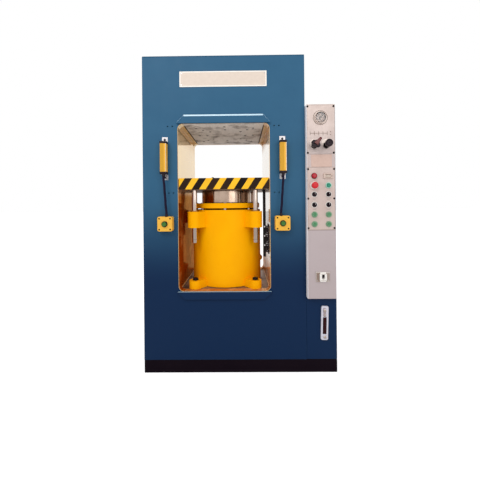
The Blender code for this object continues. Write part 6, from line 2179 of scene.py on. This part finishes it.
@dataclass
class Gauge:
    """The pressure gauge: flange, case, dial with its divisions and numbers, needle and glass."""

    flange_radius: float = 0.041
    flange_height: float = 0.003
    case_radius: float = 0.0325
    case_height: float = 0.014
    dial_radius: float = 0.0285
    dial_height: float = 0.004
    pin_radius: float = 0.0016
    pin_height: float = 0.0112
    shadow_rings: tuple[tuple[float, float], ...] = ((0.0408, 0.0), (0.0285, 0.0136))
    shadow_ring_sides: tuple[float, float] = (0.001, 0.0016)
    first_angle: float = 225.0
    sweep: float = 270.0
    divisions: int = 50
    number_step: int = 10
    tick_radius: float = 0.0244
    long_tick: tuple[float, float] = (0.0045, 0.0004)
    short_tick: tuple[float, float] = (0.0022, 0.0002)
    number_radius: float = 0.0166
    number_height: float = 0.0046
    hub_radius: float = 0.0032
    needle_width: float = 0.0022
    needle_end: float = 0.0008
    needle_tail: float = 0.010
    needle_length: float = 0.026
    glass_radius: float = 0.0282

    def build(self) -> None:
        """Build and dress the gauge."""
        centre = Seat(*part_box("gauge_case")).back
        self.build_case(centre)
        self.build_needle(centre)
        low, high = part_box("gauge_glass")
        start = Vector((centre.x, high.y, centre.z))
        glass = Form().rod(start, Way.FRONT, self.glass_radius, high.y - low.y, 60, 0.0003)
        glass.stand_in("gauge_glass", CLEAR_GLASS)

    def build_case(self, centre: Vector) -> None:
        """Build the case with its dial and its painted shadow rings.

        Args:
            centre: The middle of its back.
        """
        case = Form().turned(
            [
                (0.0, 0.0), (self.flange_radius, 0.0), (self.flange_radius, self.flange_height),
                (self.case_radius, self.flange_height), (self.case_radius, self.case_height),
                (self.dial_radius, self.case_height), (self.dial_radius, self.dial_height),
                (self.pin_radius, self.dial_height), (self.pin_radius, self.pin_height), (0.0, self.pin_height),
            ],
            centre, Way.FRONT, 72, 0.0012,
        )
        # Dark rings at the flange's edge and round the case's front rim: painted shadow.
        inside, outside = self.shadow_ring_sides
        for radius, forward in self.shadow_rings:
            case.band(centre + Way.FRONT.step(forward), radius - inside, radius + outside, 0.0008, finish=3)
        # A dark ring on the dial's rim: painted shadow of the bezel.
        rim = [(0.0245, 0.0042), (0.0284, 0.0042), (0.0284, 0.0050), (0.0245, 0.0048)]
        case.turned(rim, centre, Way.FRONT, 72, 0.0, 4, ring=True)
        face = self.dial_height + INLAY
        case.band(centre, 0.0018, 0.0283, face, 60, 0.0, 1, lift=0.0041)
        for index in range(self.divisions + 1):
            angle = radians(self.first_angle - index * self.sweep / self.divisions)
            length, thick = self.short_tick if index % self.number_step else self.long_tick
            turn = Matrix.Translation((centre.x, centre.y - face, centre.z)) @ Matrix.Rotation(-angle, 4, "Y")
            start = self.tick_radius - length
            case.box((start, -0.0002, -thick), (self.tick_radius, 0.0, thick), 0.0, 2, turn)
            if index % self.number_step == 0:
                spot = round_about(centre, self.number_radius, angle, face + 0.0002)
                add_text(case, str(index // 2), spot, self.number_height, 2)
        case.band(centre, 0.0327, 0.0345, 0.0033, 60, 0.0, 2, lift=0.0029)
        # A dark ring near the flange's edge: painted shadow.
        case.band(centre, 0.0378, 0.0402, 0.0033, 72, 0.0, 3, lift=0.0028)
        case.stand_in("gauge_case", [GAUGE_STEEL, DIAL_WHITE, DIAL_PRINT, SHADOW_OUTLINE, SHADOW_OUTLINE])

    def build_needle(self, centre: Vector) -> None:
        """Build the needle with its hub.

        Args:
            centre: The middle of the case's back.
        """
        needle = Form().packed("gauge_needle")
        low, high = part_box("gauge_needle")
        thick = high.y - low.y
        lean = Vector((high.x - centre.x, 0, high.z - centre.z)).normalized()
        hub = Vector((centre.x, low.y, centre.z))
        needle.rod(hub, Way.BACK, self.hub_radius, thick * 0.8, 24, 0.0003)
        tail = hub + Way.BACK.step(thick * 0.4) - lean * self.needle_tail
        needle.rod(tail, lean, self.needle_width, self.needle_length, 8, 0.0, 0, self.needle_end)
        needle.stand_in("gauge_needle", SCREW_BLACK)


@dataclass
class Valves:
    """The two valves with their washers, necks and knobs."""

    washer_place: tuple[float, float] = (-0.003, 0.012)
    washer: tuple[float, float] = (0.0242, 0.0008)
    nut: tuple[float, float] = (0.0218, 0.0022)
    neck_drop: float = 0.004
    neck: tuple[float, float] = (0.0165, 0.012)
    hub_radius: float = 0.0185
    hub_depth: float = 0.022
    lobe_radius: float = 0.0118
    lobe_reach: float = 0.0148
    lobe_angles: tuple[float, ...] = (156.0, 224.0, 312.0)
    lever_lean: float = 40.0
    lever_front: float = 0.0185
    lever_tail: float = 0.006
    lever_length: float = 0.036
    lever_radii: tuple[float, float] = (0.0135, 0.0080)
    cap_start: float = 0.0295
    cap_length: float = 0.010
    cap_radii: tuple[float, float] = (0.0078, 0.0066)
    flutes: int = 18
    flute_radius: float = 0.0012
    flute_reach: float = 0.0198

    def build(self) -> None:
        """Build and dress both valves."""
        for side in SIDES:
            node = side + "_valve_body"
            middle = Seat(*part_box(node)).back
            body = Form().packed(node, 0.0008, angle=40)
            across, rise = self.washer_place
            washer = middle + Vector((across, 0, rise))
            # The washer shows as a dark ring round the nut: painted shadow.
            body.rod(washer, Way.FRONT, *self.washer, 48, 0.0, 2)
            body.rod(washer, Way.FRONT, *self.nut, 48, 0.0006, 1)
            body.rod(middle + Way.DOWN.step(self.neck_drop), Way.FRONT, *self.neck, 40, 0.002)
            body.stand_in(node, [DARK_STEEL, GAUGE_STEEL, SHADOW_OUTLINE])
        self.build_round_knob(Seat(*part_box("right_valve_knob")))
        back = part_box("left_valve_knob")[1].y
        self.build_lever_knob(Seat(*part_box("left_valve_body")).middle_at(back))

    def build_lever_knob(self, start: Vector) -> None:
        """Build the three-lobed knob with its brown lever.

        Args:
            start: The middle of its back.
        """
        depth = self.hub_depth
        knob = Form().rod(start, Way.FRONT, self.hub_radius, depth, 48, 0.002)
        for angle in self.lobe_angles:
            spot = round_about(start, self.lobe_reach, radians(angle), depth / 4)
            knob.rod(spot, Way.FRONT, self.lobe_radius, depth * 0.8, 32, 0.0018)
        lean = Vector((sin(radians(self.lever_lean)), 0, cos(radians(self.lever_lean))))
        pivot = start + Way.FRONT.step(self.lever_front)
        thick, thin = self.lever_radii
        knob.rod(pivot - lean * self.lever_tail, lean, thick, self.lever_length, 32, 0.001, 1, thin)
        thick, thin = self.cap_radii
        knob.rod(pivot + lean * self.cap_start, lean, thick, self.cap_length, 32, 0.0018, 2, thin)
        knob.stand_in("left_valve_knob", [BLACK_PLASTIC, LEVER_BROWN, LAMP_RIM])

    def build_round_knob(self, seat: Seat) -> None:
        """Build the round knob with its grip flutes.

        Args:
            seat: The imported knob's box.
        """
        start, depth = seat.back, seat.depth
        profile = [
            (0.0, 0.0), (0.009, 0.0), (0.0165, 0.003), (0.0205, depth / 2), (0.0205, depth - 0.003),
            (0.018, depth), (0.015, depth - 0.003), (0.0, depth - 0.006),
        ]
        knob = Form().turned(profile, start, Way.FRONT, 64, 0.0015)
        for index in range(self.flutes):
            spot = round_about(start, self.flute_reach, tau * index / self.flutes, depth * 0.52)
            knob.rod(spot, Way.FRONT, self.flute_radius, depth * 0.40, 10, 0.0005)
        face = start + Way.FRONT.step(depth - 0.0065)
        ring = [(0.0078, 0.0), (0.0142, 0.0), (0.0135, 0.002), (0.0085, 0.002)]
        knob.turned(ring, face, Way.FRONT, 40, 0.0004, 2, ring=True)
        knob.rod(face, Way.FRONT, 0.0070, 0.001, 24, 0.0, 1)
        knob.stand_in("right_valve_knob", [BLACK_PLASTIC, SEAL_RUBBER, KNOB_GREY])


@dataclass
class Breaker:
    """The circuit breaker with its inlays, ribs, screws and toggle."""

    wing_reach: float = 0.0272
    wing_half: float = 0.0108
    wing_front: float = 0.0058
    rib_half: float = 0.0006
    rib_spacing: float = 0.0035
    rib_margin: float = 0.006
    screw_place: tuple[float, float] = (0.004, 0.009)
    screw: tuple[float, float] = (0.003, 0.0012)
    ridge_half: float = 0.013
    ridge_reach: float = 0.0175
    ridge_width: float = 0.0008
    slot_half: float = 0.0068
    slot_heights: tuple[float, float] = (0.0062, 0.0155)

    def build(self) -> None:
        """Build and dress the breaker and its toggle."""
        low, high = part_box("circuit_breaker")
        breaker = Form().packed("circuit_breaker", 0.0008, angle=60)
        middle = (low + high) / 2
        front, wide, rib, margin = low.y + self.wing_front, self.wing_half, self.rib_half, self.rib_margin
        edge = self.ridge_width
        for side, inlay in ((-1, 4), (1, 2)):
            across = middle.x + side * self.wing_reach
            wing_low = (across - wide, front, low.z + edge)
            breaker.box(wing_low, (across + wide, front + RUNNING_GAP, high.z - edge), 0.0002, inlay)
            for step in (-2, -1, 0, 1, 2):
                spot = across + step * self.rib_spacing
                rib_low = (spot - rib, front - INLAY, low.z + margin)
                breaker.box(rib_low, (spot + rib, front + INLAY, high.z - margin), 0.0002, 3)
            shift, rise = self.screw_place
            pan_screw(breaker, Vector((across + side * shift, front, low.z + rise)), *self.screw, 1, 3)
            ridge = middle.z + side * self.ridge_reach
            ridge_low = (middle.x - self.ridge_half, low.y - SEAT_GAP, ridge - edge)
            breaker.box(ridge_low, (middle.x + self.ridge_half, low.y + 0.001, ridge + edge), 0.0002, 2)
        bottom, top = self.slot_heights
        slot_low = (middle.x - self.slot_half, low.y - INLAY, middle.z + bottom)
        breaker.box(slot_low, (middle.x + self.slot_half, low.y + 0.001, middle.z + top), 0.001, 5)
        finishes = [WHITE_PLASTIC, BRIGHT_STEEL, GREY_PLASTIC, ENGRAVED, INLAY_BROWN, SEAL_RUBBER]
        breaker.stand_in("circuit_breaker", finishes)
        Form().packed("breaker_toggle", 0.0005, angle=50).stand_in("breaker_toggle", BLACK_PLASTIC)


def add_text(form: Form, words: str, centre: Vector, height: float, finish: int) -> None:
    """Add plain figures that face the operator, as thin raised shapes.

    Args:
        form: The form that takes them.
        words: The figures.
        centre: Their middle, on the face that carries them.
        height: Their height.
        finish: Which of the piece's finishes they get.
    """
    curve = bpy.data.curves.new("figures", "FONT")
    curve.body = words
    curve.size = height
    curve.align_x = "CENTER"
    curve.align_y = "CENTER"
    curve.extrude = 0.0001
    thing = bpy.data.objects.new("figures", curve)
    bpy.context.scene.collection.objects.link(thing)
    bpy.context.view_layer.update()
    mesh = bpy.data.meshes.new_from_object(thing.evaluated_get(bpy.context.evaluated_depsgraph_get()))
    bpy.data.objects.remove(thing)
    bpy.data.curves.remove(curve)
    part = bmesh.new()
    part.from_mesh(mesh)
    bpy.data.meshes.remove(mesh)
    bmesh.ops.transform(part, verts=part.verts, matrix=Matrix.Translation(centre) @ Matrix.Rotation(pi / 2, 4, "X"))
    form.take(part, finish)


@dataclass
class Studio:
    """The pale floor, the white surroundings, the lamps and the camera."""

    floor_half: float = 30.0
    camera_spot: tuple[float, float, float] = (0.0200, -1.79115, 0.983)
    camera_yaw: float = 0.0079
    camera_roll: float = 0.0089
    focal_pixels: float = 268.36
    picture_pixels: float = 480.0
    horizon_pixels: tuple[float, float] = (240.2, 202.95)
    world_level: float = 0.76
    key_power: float = 38.0
    fill_power: float = 22.0

    def build(self) -> None:
        """Build the whole studio."""
        self.build_floor()
        self.build_world()
        self.add_lamp("key_lamp", (-1.3, -3.0, 3.3), (0.0, -0.1, 1.2), 1.6, self.key_power)
        self.add_lamp("fill_lamp", (1.6, -3.2, 1.9), (0.0, -0.1, 0.9), 1.8, self.fill_power)
        self.build_camera()
        bpy.context.scene.view_settings.view_transform = "Standard"

    def build_floor(self) -> None:
        """Build the floor, which is pale and keeps the shadow."""
        part = bmesh.new()
        bmesh.ops.create_grid(part, x_segments=1, y_segments=1, size=self.floor_half)
        mesh = bpy.data.meshes.new("studio_floor")
        part.to_mesh(mesh)
        part.free()
        floor = bpy.data.objects.new("studio_floor", mesh)
        bpy.context.scene.collection.objects.link(floor)
        material = bpy.data.materials.new("studio_floor_paint")
        material.use_nodes = True
        wiring = Wiring(material.node_tree)
        shader = material.node_tree.nodes["Principled BSDF"]
        shader.inputs["Base Color"].default_value = (0.82, 0.82, 0.82, 1.0)
        shader.inputs["Roughness"].default_value = 0.9
        shader.inputs["Emission Color"].default_value = (1.0, 1.0, 1.0, 1.0)
        path = wiring.node("ShaderNodeLightPath")
        seen = wiring.math("MULTIPLY", path.outputs["Is Camera Ray"], 0.6)
        wiring.feed(shader.inputs["Emission Strength"], seen)
        mesh.materials.append(material)

    def build_world(self) -> None:
        """Light the room evenly, and show it as white to the camera, to gloss and to glass."""
        world = bpy.data.worlds.new("white_room")
        bpy.context.scene.world = world
        world.use_nodes = True
        wiring = Wiring(world.node_tree)
        background = world.node_tree.nodes["Background"]
        background.inputs["Color"].default_value = (1.0, 1.0, 1.0, 1.0)
        path = wiring.node("ShaderNodeLightPath")
        seen = wiring.math("MAXIMUM", path.outputs["Is Camera Ray"], path.outputs["Is Glossy Ray"])
        seen = wiring.math("MAXIMUM", seen, path.outputs["Is Transmission Ray"])
        level = wiring.math("MULTIPLY_ADD", seen, 1.0 - self.world_level)
        level.node.inputs[2].default_value = self.world_level
        wiring.feed(background.inputs["Strength"], level)

    def add_lamp(self, name: str, spot: tuple, target: tuple, size: float, power: float) -> None:
        """Hang one soft square lamp.

        Args:
            name: The lamp's name.
            spot: Where it hangs.
            target: The point that it faces.
            size: Its side.
            power: Its power in watts.
        """
        light = bpy.data.lights.new(name, "AREA")
        light.shape = "SQUARE"
        light.size = size
        light.energy = power
        lamp = bpy.data.objects.new(name, light)
        lamp.location = spot
        lamp.rotation_euler = (Vector(target) - Vector(spot)).to_track_quat("-Z", "Y").to_euler()
        bpy.context.scene.collection.objects.link(lamp)

    def build_camera(self) -> None:
        """Set the camera where the photograph was taken from."""
        data = bpy.data.cameras.new("photo_camera")
        data.sensor_fit = "HORIZONTAL"
        data.sensor_width = 36.0
        data.lens = self.focal_pixels / self.picture_pixels * data.sensor_width
        data.shift_x = (self.picture_pixels / 2 - self.horizon_pixels[0]) / self.picture_pixels
        data.shift_y = (self.horizon_pixels[1] - self.picture_pixels / 2) / self.picture_pixels
        data.clip_end = 100.0
        yaw, roll = self.camera_yaw, self.camera_roll
        forward = Vector((-sin(yaw), cos(yaw), 0))
        level = Vector((cos(yaw), sin(yaw), 0))
        right = level * cos(roll) - Vector((0, 0, sin(roll)))
        up = level * sin(roll) + Vector((0, 0, cos(roll)))
        turn = Matrix((right, up, -forward)).transposed().to_4x4()
        camera = bpy.data.objects.new("photo_camera", data)
        camera.matrix_world = Matrix.Translation(self.camera_spot) @ turn
        bpy.context.scene.collection.objects.link(camera)
        bpy.context.scene.camera = camera


def main() -> None:
    """Build the studio and every sub-assembly of the press, in order."""
    logging.basicConfig(level=logging.INFO, format="%(name)s %(message)s")
    Studio().build()
    assemblies = [
        WindowFrame(), Cylinder(), Crosshead(), StrokeStops(), GuardPost("left"), GuardPost("right"), Console(),
    ]
    for assembly in assemblies:
        assembly.build()
        LOG.info("%s is dressed", type(assembly).__name__)


if __name__ == "__main__":
    main()
